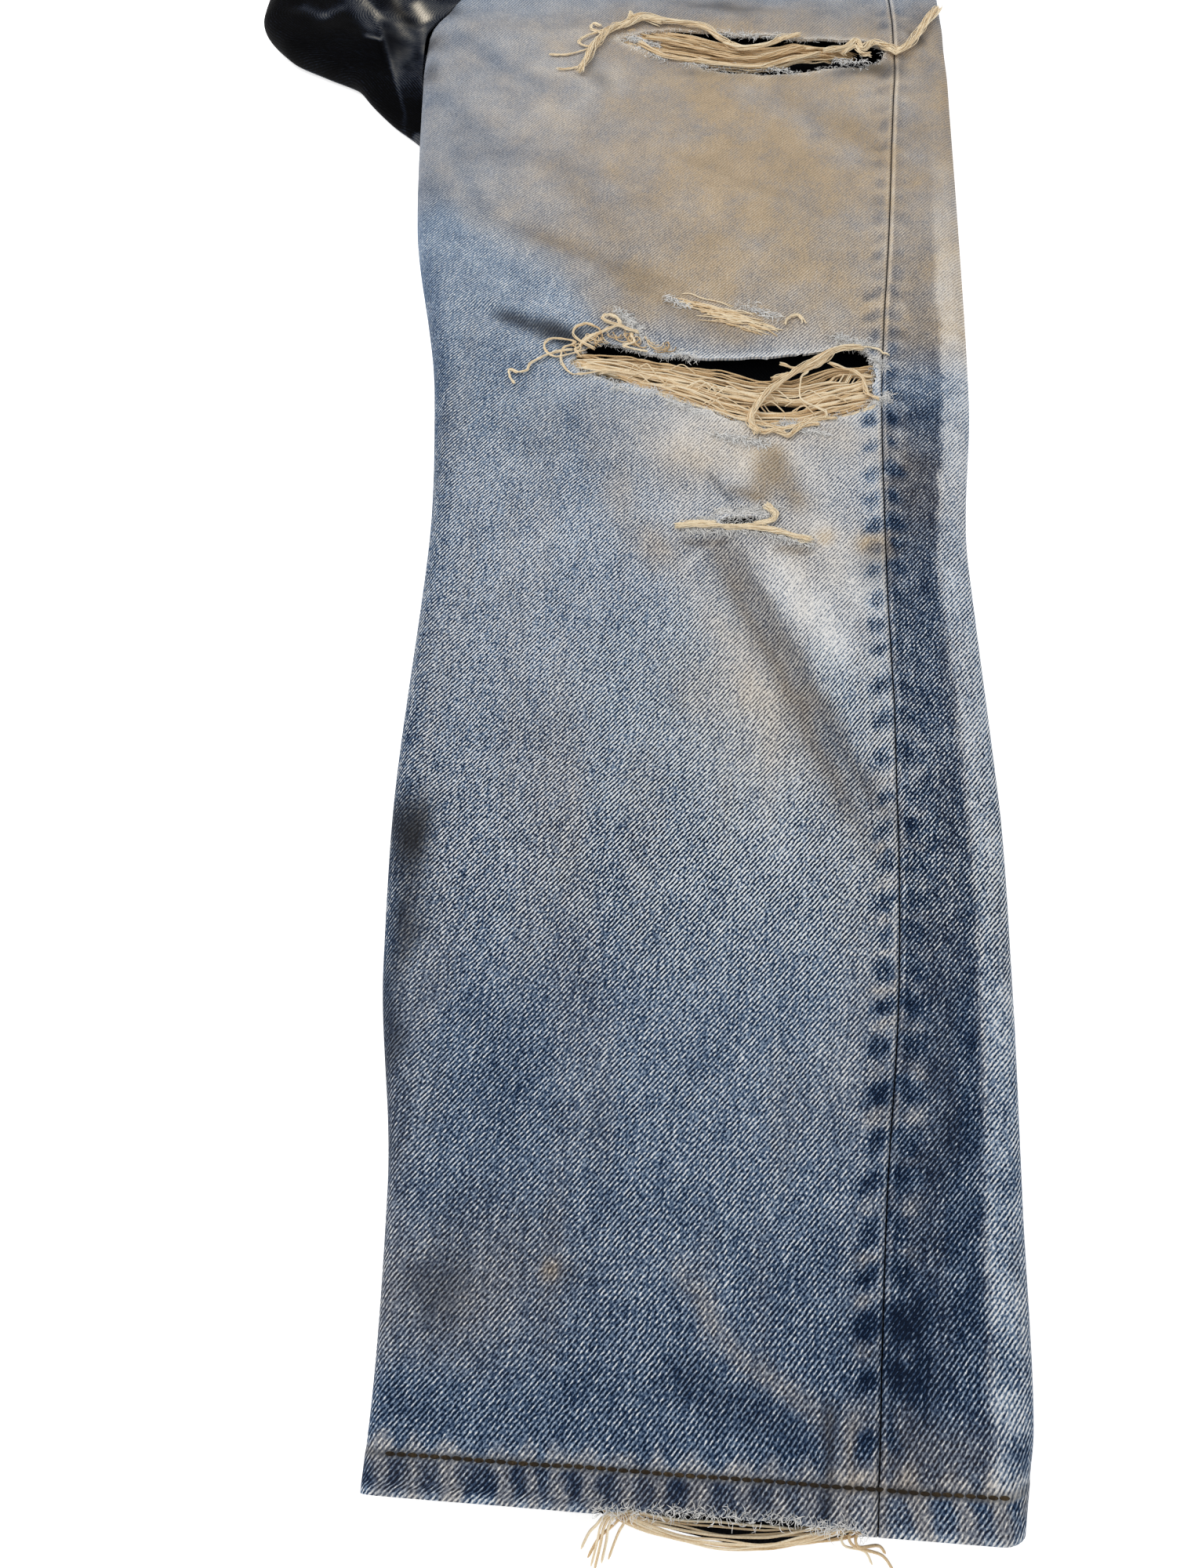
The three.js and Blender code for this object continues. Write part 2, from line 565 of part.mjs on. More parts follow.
add('front_left', frontLeft(), DENIM);
add('back_left', panel((up) => backLeftSection(up), LEFT_STATIONS, legThickness), DENIM);
add('front_right', panel(frontRightSection, RIGHT_STATIONS, underLegThickness), DARK_DENIM);
add('back_right', panel(backRightSection, RIGHT_STATIONS, underLegThickness), DENIM);
add('pocket_facing_left', pocketFacing(), DENIM);
add('fly_shield', flyShield(), DENIM);
add('waistband_left', waistbandLeft(), DENIM);
add('waistband_right', waistbandRight(), DENIM);
add('waistband_back_right', waistbandBackRight(), DENIM);
for (const [place, x] of Object.entries(BELT_LOOP_PLACES)) add(`belt_loop_${place}`, beltLoop(x), DENIM);
add('waist_button', waistButton(), METAL);
for (const [place, band] of Object.entries(WEFT_BANDS)) add(`${place}_rip_threads`, weftBand(band), COTTON);
add('hem_threads', hemThreads(), COTTON);

// The origin is the middle of the footprint, on the surface that the jeans lie on.
const footprint = new THREE.Box3().setFromObject(garment);
for (const mesh of garment.children) {
  mesh.geometry.translate(-(footprint.min.x + footprint.max.x) / 2, -(footprint.min.y + footprint.max.y) / 2, 0);
}

export default garment;
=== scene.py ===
import math
import bpy
import numpy as np
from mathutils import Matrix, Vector


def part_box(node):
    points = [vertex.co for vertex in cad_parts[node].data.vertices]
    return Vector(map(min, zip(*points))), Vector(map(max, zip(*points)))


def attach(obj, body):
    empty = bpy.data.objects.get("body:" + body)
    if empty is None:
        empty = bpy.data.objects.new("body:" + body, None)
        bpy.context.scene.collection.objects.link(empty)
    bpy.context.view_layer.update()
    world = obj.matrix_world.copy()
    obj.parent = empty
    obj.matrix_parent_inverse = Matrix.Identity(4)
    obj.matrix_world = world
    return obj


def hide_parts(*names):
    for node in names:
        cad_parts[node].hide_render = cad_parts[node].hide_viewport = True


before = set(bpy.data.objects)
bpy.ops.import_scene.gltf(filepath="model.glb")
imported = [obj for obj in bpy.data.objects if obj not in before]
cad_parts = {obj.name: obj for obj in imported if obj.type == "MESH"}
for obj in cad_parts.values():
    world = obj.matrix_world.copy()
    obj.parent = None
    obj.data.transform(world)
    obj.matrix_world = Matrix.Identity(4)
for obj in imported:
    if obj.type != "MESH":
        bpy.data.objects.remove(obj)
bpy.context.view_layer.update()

# Cut of the folded pair, in millimetres: up is the height above the hem, x runs across the leg.
leftHalf = {
    "up":      [0, 25, 85, 160, 235, 340, 430, 540, 640, 668, 690, 712, 745, 790, 850, 913, 951],
    "inner":   [-92.5, -92, -94, -104, -107.5, -106, -112, -131, -138.5,
                -140, -140, -135, -119, -104, -94, -85, -81],
    "outer":   [98.5, 104.5, 109, 115, 119, 119.5, 129.5, 136.5, 142,
                143.5, 144, 145, 145, 142, 133.5, 122, 117],
    "outseam": [55, 58, 64.5, 74.5, 80, 84, 89, 101, 111, 114, 115, 116, 116, 114, 107, 97, 92],
    "loft":    [12, 12.6, 13.2, 13.2, 13.2, 13.2, 13.4, 13.6, 13.6,
                13.6, 13.4, 13.2, 13, 12.6, 12.2, 12, 12],
    "curl":    [180, 180, 180, 180, 180, 180, 180, 180, 180, 150, 70, 0, 0, 0, 0, 0, 0],
}
rightHalf = {
    "up":    [0, 25, 85, 160, 235, 340, 430, 540, 615, 638,
              652, 666, 678, 690, 712, 745, 790, 850, 913, 951],
    "inner": [-88, -88, -90, -100, -103, -102, -108, -127, -137, -157,
              -169, -180, -202, -222, -236, -234, -208, -160, -121, -112],
    "outer": [93, 98, 102, 108, 112, 112, 122, 129, 134, 135,
              136, 136, 137, 137, 138, 138, 135, 127, 116, 111],
    "rise":  [6.4, 6.4, 6.4, 6.4, 6.4, 6.4, 6.4, 6.4, 6.4, 6.6,
              9.6, 13.4, 17, 19.4, 20, 19.8, 19.4, 19, 18.8, 18.8],
    "reach": [-78, -78, -80, -90, -93, -92, -98, -117, -127, -136,
              -139.2, -141.2, -141.2, -140.6, -129.4, -113.3, -98.1, -88.3, -79.4, -75.4],
}
cloth = {
    "thickness": 1.4, "seamGap": 0.3, "underLeg": 6.4, "underSide": 2.6, "upperBase": 6.8, "inseamTuck": 14,
    "foldFade": 22, "waistLow": 913, "waistHigh": 951, "backSeat": 17, "hemHeight": 11, "hemBulge": 0.9,
}
# folds shared with the solids: x0, up0, x1, up1, half width, height
mainFolds = [
    (18, 338, 72, 232, 9, -2.6), (2, 330, 44, 236, 12, 2.0), (48, 350, 82, 262, 10, 1.6),
    (-8, 96, 46, 36, 12, 1.6), (-60, 474, 80, 468, 14, 1.8), (-30, 716, 100, 710, 12, 1.6),
    (-70, 640, 70, 560, 34, 1.5), (-110, 560, -40, 470, 16, 1.3),
]
# finer creases, same columns
fineCreases = [
    (20, 334, 66, 244, 4.2, -1.3), (30, 346, 62, 316, 7, 0.9), (-96, 477, -48, 456, 4.5, -1.9),
    (-100, 486, -52, 466, 6, 0.9), (4, 374, 24, 362, 3, -0.9), (28, 388, 41, 368, 6, 1.1),
    (48, 396, 37, 372, 3.5, -1.0), (60, 402, 74, 372, 5, 0.8), (11, 347, -2, 332, 2.4, -0.6),
    (20, 346, 9, 324, 2.2, -0.6), (-60, 604, 62, 566, 20, -0.8), (-102, 640, -58, 600, 13, 0.9),
    (58, 646, 104, 598, 12, -0.8), (-82, 332, -88, 226, 9, -0.9), (-60, 186, -70, 88, 12, 0.7),
    (7, 53, 44, 17, 3.6, -1.1), (44, 27, 41, 4, 2.6, -1.0), (58, 44, 76, 8, 4, -0.7),
    (-136, 682, -92, 660, 6, -1.4), (-134, 700, -88, 690, 6, 1.4), (-128, 716, -70, 718, 7, -1.3),
    (0, 724, 60, 722, 8, -1.2), (-90, 540, -30, 512, 9, -0.7), (30, 520, 92, 500, 10, 0.8),
    (20, 236, 62, 190, 8, 0.8), (-3, 594, 53, 561, 5, -0.8), (-74, 532, -6, 498, 7, -1.1),
    (12, 382, 23, 368, 2.4, -1.0), (66, 236, 70, 150, 6, -0.7), (-20, 140, 20, 110, 14, 0.6),
    (-66, 420, -30, 330, 11, 0.8), (-20, 300, -44, 236, 12, -0.6),
]
seatFolds = [
    (-212, 706, -172, 676, 8, 2.2), (-186, 735, -160, 690, 6, 2.4), (-160, 742, -145, 700, 6, -2.0),
    (-224, 728, -196, 694, 6, -1.6), (-206, 736, -178, 700, 4.5, -1.4), (-172, 722, -150, 680, 4, -1.6),
    (-200, 770, -150, 720, 9, 1.6), (-176, 800, -120, 760, 10, -1.4),
]


def smooth(low, high, value):
    t = np.clip((value - low) / (high - low), 0, 1)
    return t * t * (3 - 2 * t)


def curveOf(table, name, up):  # monotone cubic through a column, as in the solids
    xs, ys = np.array(table["up"], float), np.array(table[name], float)
    slope = np.diff(ys) / np.diff(xs)
    before, after = slope[:-1], slope[1:]
    same = before * after > 0
    tangent = np.r_[slope[0],
                    np.where(same, 2 * before * after / np.where(same, before + after, 1), 0), slope[-1]]
    up = np.clip(np.asarray(up, float), xs[0], xs[-1])
    i = np.clip(np.searchsorted(xs, up) - 1, 0, len(xs) - 2)
    span = xs[i + 1] - xs[i]
    t = (up - xs[i]) / span
    return (ys[i] * (1 + 2 * t) * (1 - t) ** 2 + ys[i + 1] * t * t * (3 - 2 * t)
            + span * (tangent[i] * t * (1 - t) ** 2 - tangent[i + 1] * t * t * (1 - t)))


def lineMask(row, x, up):  # soft stroke from x0, up0 to x1, up1, tapered at its ends
    x0, up0, x1, up1, half = row[:5]
    ax, ay = x1 - x0, up1 - up0
    length = math.hypot(ax, ay)
    t = ((x - x0) * ax + (up - up0) * ay) / length ** 2
    off = np.abs((x - x0) * ay - (up - up0) * ax) / length
    return smooth(-0.25, 0.15, t) * smooth(1.25, 0.85, t) * np.exp(-(off / half) ** 2)


def foldSum(rows, x, up):
    return sum(row[5] * lineMask(row, x, up) for row in rows)


def noise(x, y, size, seed):  # value noise from -1 to 1
    gx, gy = np.asarray(x, float) / size, np.asarray(y, float) / size
    ix, iy = np.floor(gx).astype(np.int64), np.floor(gy).astype(np.int64)
    fx, fy = gx - ix, gy - iy
    fx, fy = fx * fx * (3 - 2 * fx), fy * fy * (3 - 2 * fy)

    def corner(a, b):
        h = (a * 374761393 + b * 668265263 + seed * 144269504) & 0xffffffff
        h = ((h ^ (h >> 13)) * 1274126177) & 0xffffffff
        return ((h ^ (h >> 16)) & 0xffff) / 32767.5 - 1
    low = corner(ix, iy) * (1 - fx) + corner(ix + 1, iy) * fx
    high = corner(ix, iy + 1) * (1 - fx) + corner(ix + 1, iy + 1) * fx
    return low * (1 - fy) + high * fy


def blob(x, up, row):  # soft ellipse: centre x, centre up, radius x, radius up, turn in degrees
    cx, cy, rx, ry, turn = row[:5]
    a = math.radians(turn)
    dx, dy = x - cx, up - cy
    return np.exp(-(((dx * math.cos(a) + dy * math.sin(a)) / rx) ** 2
                    + ((dy * math.cos(a) - dx * math.sin(a)) / ry) ** 2) ** 1.3)


# place of the cut in the frame, from the waist button and the hem
buttonLow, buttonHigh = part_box("waist_button")
buttonX = float(curveOf(leftHalf, "inner", 932) + curveOf(leftHalf, "loft", 932) / 2 + 12)
shift = np.array([(buttonLow.x + buttonHigh.x) * 500 - buttonX,
                  (buttonLow.y + buttonHigh.y) * 500 - 932, 0.0])
# the hem lies askew, its right corner is rounded
hemSlant = {"left": 2.0, "right": -4.5, "fade": 46, "corner": 4.5}


def toFrame(points):
    p = np.array(points, float)
    lean = np.interp(p[..., 0], [-92, 98], [hemSlant["left"], hemSlant["right"]])
    lean = lean + hemSlant["corner"] * np.clip((p[..., 0] - 90) / 10, 0, 1.2) ** 2
    p[..., 1] += lean * smooth(hemSlant["fade"], 0, p[..., 1])
    return (p + shift) / 1000


# Surfaces

def seamDistance(x, up):
    return x - curveOf(leftHalf, "outseam", up)


def loftAt(up):
    return curveOf(leftHalf, "loft", up) + cloth["hemBulge"] * smooth(11.8, 10.6, up) * smooth(-2, 1.2, up)


seamRelief = {"groove": 0.5, "grooveHalf": 0.6, "ridge": 0.6, "ridgeAt": 2.0, "pucker": 0.42,
              "puckerSize": 13.5}
trackUps = np.cumsum(np.random.default_rng(7).uniform(11.5, 16.5, 60)) + 6
trackUps = trackUps[trackUps < 730]


def nearestTrack(up):
    i = np.clip(np.searchsorted(trackUps, up), 1, len(trackUps) - 1)
    low, high = trackUps[i - 1], trackUps[i]
    return np.where(up - low < high - up, i - 1, i)


def topRelief(x, up):
    d = seamDistance(x, up)
    relief = foldSum(mainFolds, x, up) + foldSum(fineCreases, x, up)
    relief = relief + 0.55 * noise(x, up, 52, 3) + 0.25 * noise(x, up, 23, 4) + 0.1 * noise(x, up, 9, 5)
    k = nearestTrack(up)
    wave = np.cos((up - trackUps[k]) / seamRelief["puckerSize"] * 2 * np.pi)
    relief = relief - seamRelief["groove"] * np.exp(-(d / seamRelief["grooveHalf"]) ** 2)
    relief = relief + seamRelief["ridge"] * np.exp(-((np.abs(d) - seamRelief["ridgeAt"]) / 1.6) ** 2)
    relief = relief - seamRelief["pucker"] * wave * np.exp(-((np.abs(d) - 6) / 4.5) ** 2)
    stitch = np.exp(-((up - cloth["hemHeight"]) / 0.9) ** 2)
    rope = np.sin(2 * np.pi * (x + 0.6 * up) / 11.0 + 1.2 * noise(x, up, 21, 8))
    relief = relief - 0.5 * stitch + 0.3 * rope * smooth(19, 11, up) * smooth(0.5, 4, up)
    return relief


def topHeight(x, up):
    inner, outer = curveOf(leftHalf, "inner", up), curveOf(leftHalf, "outer", up)
    fade = smooth(0, cloth["foldFade"], x - inner) * smooth(0, cloth["foldFade"], outer - x)
    return cloth["upperBase"] + loftAt(up) + fade * topRelief(x, up)


def arcLine(cx, cz, radius, start, end, count):
    a = np.radians(np.linspace(start, end, count))
    return np.c_[cx + radius * np.cos(a), cz + radius * np.sin(a)]


def frontLeftLine(up):
    inner, curl = float(curveOf(leftHalf, "inner", up)), float(curveOf(leftHalf, "curl", up))
    r = float(loftAt(up)) / 2
    cx, cz = inner + r, cloth["upperBase"] + r
    tuck = cloth["inseamTuck"] * float(smooth(150, 180, curl))
    xs = np.linspace(cx, float(curveOf(leftHalf, "outseam", up)), 220)
    parts = [arcLine(cx, cz, r, 90 + curl, 90, 26)[:-1], np.c_[xs, topHeight(xs, up)]]
    if tuck > r:
        parts.insert(0, np.c_[np.linspace(inner + tuck, cx, 8), np.full(8, cloth["upperBase"])][:-1])
    return np.concatenate(parts)


def backLeftLine(up):
    start = float(curveOf(leftHalf, "outseam", up)) + cloth["seamGap"]
    outer, r = float(curveOf(leftHalf, "outer", up)), float(loftAt(up)) / 2
    inseam = float(curveOf(leftHalf, "inner", up)) + cloth["inseamTuck"] + cloth["seamGap"]
    seat = float(curveOf(rightHalf, "inner", up)) + cloth["backSeat"]
    end = inseam + (seat - inseam) * float(smooth(680, 716, up))
    xs = np.linspace(start, outer - r, 60)
    return (np.c_[xs, topHeight(xs, up)], arcLine(outer - r, cloth["upperBase"] + r, r, 90, -90, 30),
            np.c_[np.linspace(outer - r, end, 30), np.full(30, cloth["upperBase"])])


def frontRightLine(up):
    inner, outer, rise, reach = (float(curveOf(rightHalf, n, up))
                                 for n in ("inner", "outer", "rise", "reach"))
    side, fold, mid = cloth["underSide"], rise / 2, cloth["underLeg"] / 2
    crumple = float(smooth(cloth["underLeg"] + 4, cloth["underLeg"] + 12, rise))
    xs = np.linspace(inner + fold, max(reach, inner + fold + 1), 90)
    edge = smooth(0, 12, xs - inner - fold) * smooth(0, 9, reach - xs)
    top = rise + crumple * edge * (foldSum(seatFolds, xs, up) + 0.5 * noise(xs, up, 17, 11)
                                   + 0.3 * noise(xs, up, 7, 12))
    sideArc = np.r_[[[outer, mid - cloth["seamGap"] / 2]], arcLine(outer - side, side, side, 0, -90, 8)]
    return (sideArc, np.c_[np.linspace(outer - side, inner + fold, 40), np.zeros(40)],
            arcLine(inner + fold, fold, fold, 270, 90, 40), np.c_[xs, top])


def backRightLine(up):
    inner, outer, rise, reach = (float(curveOf(rightHalf, n, up))
                                 for n in ("inner", "outer", "rise", "reach"))
    leg, side = cloth["underLeg"], cloth["underSide"]
    inseam = reach + cloth["seamGap"] * (1 + 2 * float(smooth(leg, leg + 1, rise)))
    start = inseam + (inner + cloth["backSeat"] - inseam) * float(smooth(leg + 2.6, leg + 6.6, rise))
    return (np.c_[np.linspace(start, outer - side, 30), np.full(30, leg)],
            np.r_[arcLine(outer - side, leg - side, side, 90, 0, 8),
                  [[outer, (leg + cloth["seamGap"]) / 2]]])


def resample(line, count=None, places=None):  # points along a line, by count or by place from its end
    steps = np.r_[0, np.cumsum(np.linalg.norm(np.diff(line, axis=0), axis=1))]
    at = np.linspace(0, steps[-1], count) if places is None else steps[-1] - places(steps[-1])
    return np.c_[np.interp(at, steps, line[:, 0]), np.interp(at, steps, line[:, 1])], at, steps[-1]


def stations(*runs):  # (from, to, step) runs joined end to end
    parts = [np.linspace(a, b, max(2, int(round((b - a) / s)) + 1))[:-1] for a, b, s in runs]
    return np.r_[np.concatenate(parts), runs[-1][1]]


# Torn outlines, x and up
rips = {
    "knee": [(-51, 444), (-45, 454), (-38, 458), (-30, 455.5), (-22, 453), (-14, 451.5), (0, 450.5),
             (11, 449.5), (25, 450), (39, 451), (55, 453), (75, 458), (81, 460), (86, 452), (87, 440),
             (85, 431), (84, 424), (76, 419), (62, 414.5), (48, 411), (31, 409.5), (16, 416), (0, 423),
             (-13, 429), (-27, 432.5), (-40, 436.5), (-48, 441)],
    "thigh": [(-36, 688), (-20, 695), (-4, 698), (15, 696.5), (30, 694), (56, 693), (82, 692),
              (100, 690), (110, 683), (107, 672), (96, 666), (80, 667), (70, 664), (58, 661),
              (46, 658.5), (30, 659), (13, 663), (0, 670), (-18, 677), (-30, 683)],
    "shin": [(15, 356), (19, 358.6), (27, 359.6), (34, 358.6), (36.5, 356.4), (30, 354.8), (21, 354.6)],
    "hem": [(-27, -6), (-23, 0.9), (-12, 1.8), (0, 2.2), (20, 2.0), (40, 1.6), (50, 0.9), (56, -6)],
}
ripJitter = {"knee": 1.0, "thigh": 0.9, "shin": 0.3, "hem": 0.6}


def tornOutline(name):
    corners = np.array(rips[name] + rips[name][:1], float)
    steps = np.r_[0, np.cumsum(np.linalg.norm(np.diff(corners, axis=0), axis=1))]
    at = np.arange(0, steps[-1], 1.3)
    line = np.c_[np.interp(at, steps, corners[:, 0]), np.interp(at, steps, corners[:, 1])]
    rough = ripJitter[name] * np.ones(len(line))
    if name == "knee":  # the right of the upper lip is a clean edge
        rough[(line[:, 1] > 446) & (line[:, 0] > 12) & (line[:, 0] < 76)] = 0.15
    line[:, 0] += rough * (noise(at, at * 0, 3.1, 21) + 0.6 * noise(at, at * 0, 7.3, 22))
    line[:, 1] += rough * (noise(at, at * 0, 3.3, 23) + 0.6 * noise(at, at * 0, 6.7, 24))
    return line


def insideOf(line, x, y):
    found = np.zeros(np.shape(x), bool)
    for (x0, y0), (x1, y1) in zip(line, np.roll(line, -1, axis=0)):
        if y0 == y1:
            continue
        cross = (y0 > y) != (y1 > y)
        found ^= cross & (x < (x1 - x0) * (y - y0) / (y1 - y0) + x0)
    return found


def nearestOn(line, x, y):
    best, bx, by = np.full(np.shape(x), 1e9), np.array(x), np.array(y)
    for (x0, y0), (x1, y1) in zip(line, np.roll(line, -1, axis=0)):
        dx, dy = x1 - x0, y1 - y0
        t = np.clip(((x - x0) * dx + (y - y0) * dy) / (dx * dx + dy * dy + 1e-9), 0, 1)
        px, py = x0 + t * dx, y0 + t * dy
        d = np.hypot(x - px, y - py)
        near = d < best
        best, bx, by = np.where(near, d, best), np.where(near, px, bx), np.where(near, py, by)
    return bx, by, best


tornLines = {name: tornOutline(name) for name in rips}


def pocketMouth():
    a = np.linspace(0, np.pi / 2, 24)
    top, low = cloth["waistLow"] + 2, cloth["waistLow"] - 62
    up = top - (top - low) * np.sin(a)
    xs = curveOf(leftHalf, "outseam", up) + 4 - 86 * np.cos(a)
    return np.r_[np.c_[xs, up], [[float(curveOf(leftHalf, "outseam", top)) + 4, top]]]


# Wear, dirt and stains, with painted shade and highlights, as masks on the cloth's points
wearColumns = {  # how faded the cloth is, from 0 dark to 1 bare
    "up":    [0, 30, 80, 150, 210, 260, 310, 360, 420, 480, 560, 640, 720, 950],
    "left":  [0.46, 0.43, 0.44, 0.45, 0.48, 0.55, 0.58, 0.58, 0.57, 0.61, 0.66, 0.70, 0.70, 0.62],
    "mid":   [0.45, 0.42, 0.44, 0.48, 0.52, 0.57, 0.63, 0.68, 0.70, 0.70, 0.73, 0.73, 0.70, 0.60],
    "right": [0.46, 0.42, 0.44, 0.52, 0.61, 0.68, 0.75, 0.78, 0.77, 0.74, 0.74, 0.73, 0.70, 0.56],
    "back":  [0.38, 0.26, 0.24, 0.22, 0.23, 0.26, 0.28, 0.27, 0.36, 0.60, 0.68, 0.70, 0.66, 0.54],
}
wearSpots = [  # x, up, radius x, radius up, turn, amount
    (28, 281, 14, 22, 20, 0.1), (17, 402, 38, 20, 0, 0.26), (24, 246, 20, 30, 15, 0.13),
    (72, 402, 12, 26, 0, 0.06), (-30, 400, 26, 30, 0, -0.05), (-53, 308, 26, 40, 0, 0.04),
    (-84, 440, 20, 22, 10, -0.04), (0, 130, 40, 30, 0, 0.05), (-60, 120, 26, 60, 0, -0.03),
    (40, 60, 30, 24, 0, -0.03), (66, 216, 6, 30, 0, 0.08), (-70, 690, 44, 10, 4, 0.05),
    (-74, 636, 34, 50, 0, 0.04), (60, 366, 16, 22, 0, 0.08), (-40, 33, 60, 9, 2, -0.02),
    (-62, 214, 22, 30, 0, 0.04), (18, 190, 26, 34, 0, 0.04), (2, 362, 14, 14, 0, 0.15),
    (60, 38, 15, 14, 0, -0.14), (74, 46, 9, 16, 0, -0.1), (65, 121, 6, 16, 0, -0.16),
]
dirtSpots = [  # tan soil over the thigh and knee
    (34, 572, 60, 86, 8, 0.75), (30, 402, 58, 26, 0, 0.6), (40, 352, 44, 30, 0, 0.3),
    (55, 320, 26, 34, 0, 0.2), (22, 262, 24, 44, 8, 0.28), (76, 343, 7, 8, 0, 0.85),
    (57, 348, 5, 5, 0, 0.7), (-9, 345, 9, 13, 0, 0.5), (-35, 63, 3.2, 3.2, 0, 0.5),
    (-24, 366, 9, 16, 0, 0.3), (60, 20, 40, 12, 0, 0.22), (-92, 100, 10, 90, 0, 0.16),
    (96, 380, 14, 30, 0, 0.3), (-50, 232, 14, 40, 0, 0.14), (60, 150, 12, 60, 0, 0.12),
    (-60, 60, 30, 22, 0, 0.24),
]
stainAndShadowSpots = [  # dark smudges; painted shadow under the knee-rip curls at (-52, 457) and in the crease at (22, 720); darker round the left end of the knee rip and the right end of the thigh rip
    (-100, 207, 9, 17, 0, 0.9), (-96, 174, 6, 14, 0, 0.55), (-52, 457, 10, 5, -20, 0.55),
    (-74, 57, 9, 11, 0, 0.34), (-99, 130, 5, 60, 0, 0.4), (78, 336, 6, 12, 0, 0.28),
    (-35, 63, 2.6, 2.6, 0, 0.3), (22, 720, 26, 6, -8, 0.5), (28, 520, 1.3, 1.3, 0, 0.6),
    (-137, 682, 7, 7, 20, 0.65), (-136, 657, 5, 9, 0, 0.5), (-130, 713, 6, 9, 0, 0.6),
    (100, 665, 19, 7, -4, 0.75), (-40, 457, 17, 7, -8, 0.5), (126, 694, 4, 9, 30, 0.55),
    (-44, 652, 5, 16, 20, 0.3), (-70, 700, 20, 6, 0, 0.12),
]
paintedCreaseShade = [  # painted shade in creases and under torn lips, and painted highlights on the ridges beside them: x0, up0, x1, up1, half width, then amounts for wear and shade, dirt and shade, stain and shade
    (18, 334, 65, 218, 6.0, -0.1, 0.35, 0.24), (26, 334, 74, 226, 3.6, -0.1, 0.2, 0.32),
    (37, 339, 62, 290, 8.5, 0.42, 0.0, 0), (56, 358, 72, 316, 9, 0.26, 0, 0),
    (4, 324, 40, 246, 8, 0.1, 0.2, 0), (72, 240, 70, 196, 5, -0.1, 0, 0),
    (-86, 474, -50, 461, 3.6, -0.08, 0.1, 0.75), (-66, 463, -40, 463, 3, 0, 0, 0.5),
    (37, 397, 33, 368, 7, -0.08, 0.45, 0.18), (40, 395, 49, 366, 6, -0.08, 0.45, 0.2),
    (20, 376, 32, 370, 2.2, -0.04, 0.3, 0.3), (30, 396, 26, 376, 5, 0.12, 0, 0),
    (52, 396, 58, 372, 4, 0.1, 0, 0), (-3, 594, 53, 561, 3.6, 0, 0.1, 0.12),
    (-74, 532, -6, 498, 6, -0.03, 0.15, 0.2), (12, 382, 22, 369, 1.6, -0.08, 0, 0.4),
    (16, 351, 0, 331, 1.2, 0.2, 0, 0), (2, 345, 18, 348, 2.4, -0.1, 0.2, 0.3),
    (40, 343, 52, 341, 2, -0.1, 0.2, 0.3), (0, 66, 16, 42, 3.4, 0.07, 0.22, 0),
    (16, 42, 42, 26, 3.2, 0.09, 0.28, 0), (-4, 36, 36, 22, 6, -0.13, -0.2, 0.1),
    (44, 28, 41, 3, 1.5, -0.1, 0.1, 0.4), (49, 28, 47, 4, 2.0, 0.1, 0.3, 0),
    (71, 62, 66, 32, 6, -0.16, -0.2, 0.12), (97, 24, 99, 10, 4, -0.2, -0.2, 0.1),
    (2, 661, 58, 661, 4, 0, 0, 0.35), (52, 646, 104, 604, 8, -0.02, 0.1, 0.1),
    (-30, 500, 30, 462, 6, -0.02, 0.2, 0.16), (-132, 640, -84, 584, 6, -0.06, -0.1, 0.04),
    (-124, 690, -70, 640, 5, -0.05, -0.1, 0.05), (-100, 612, -60, 548, 5, 0.05, 0, 0),
    (-120, 600, -96, 540, 5, -0.07, -0.1, 0.03), (-88, 668, -40, 640, 4, 0.05, 0.05, 0),
    (-126, 566, -100, 500, 7, -0.06, -0.1, 0), (-110, 520, -84, 492, 5, 0.06, 0, 0),
    (-64, 586, -30, 530, 8, -0.03, 0.05, 0.04),
]
weaveShown = {
    "up":     [0, 150, 200, 260, 340, 400, 460, 520, 580, 730],
    "amount": [0.8, 0.9, 1.4, 1.2, 1.0, 0.85, 0.65, 0.45, 0.28, 0.25],
}
trackDraw = np.random.default_rng(12).random((len(trackUps), 8))


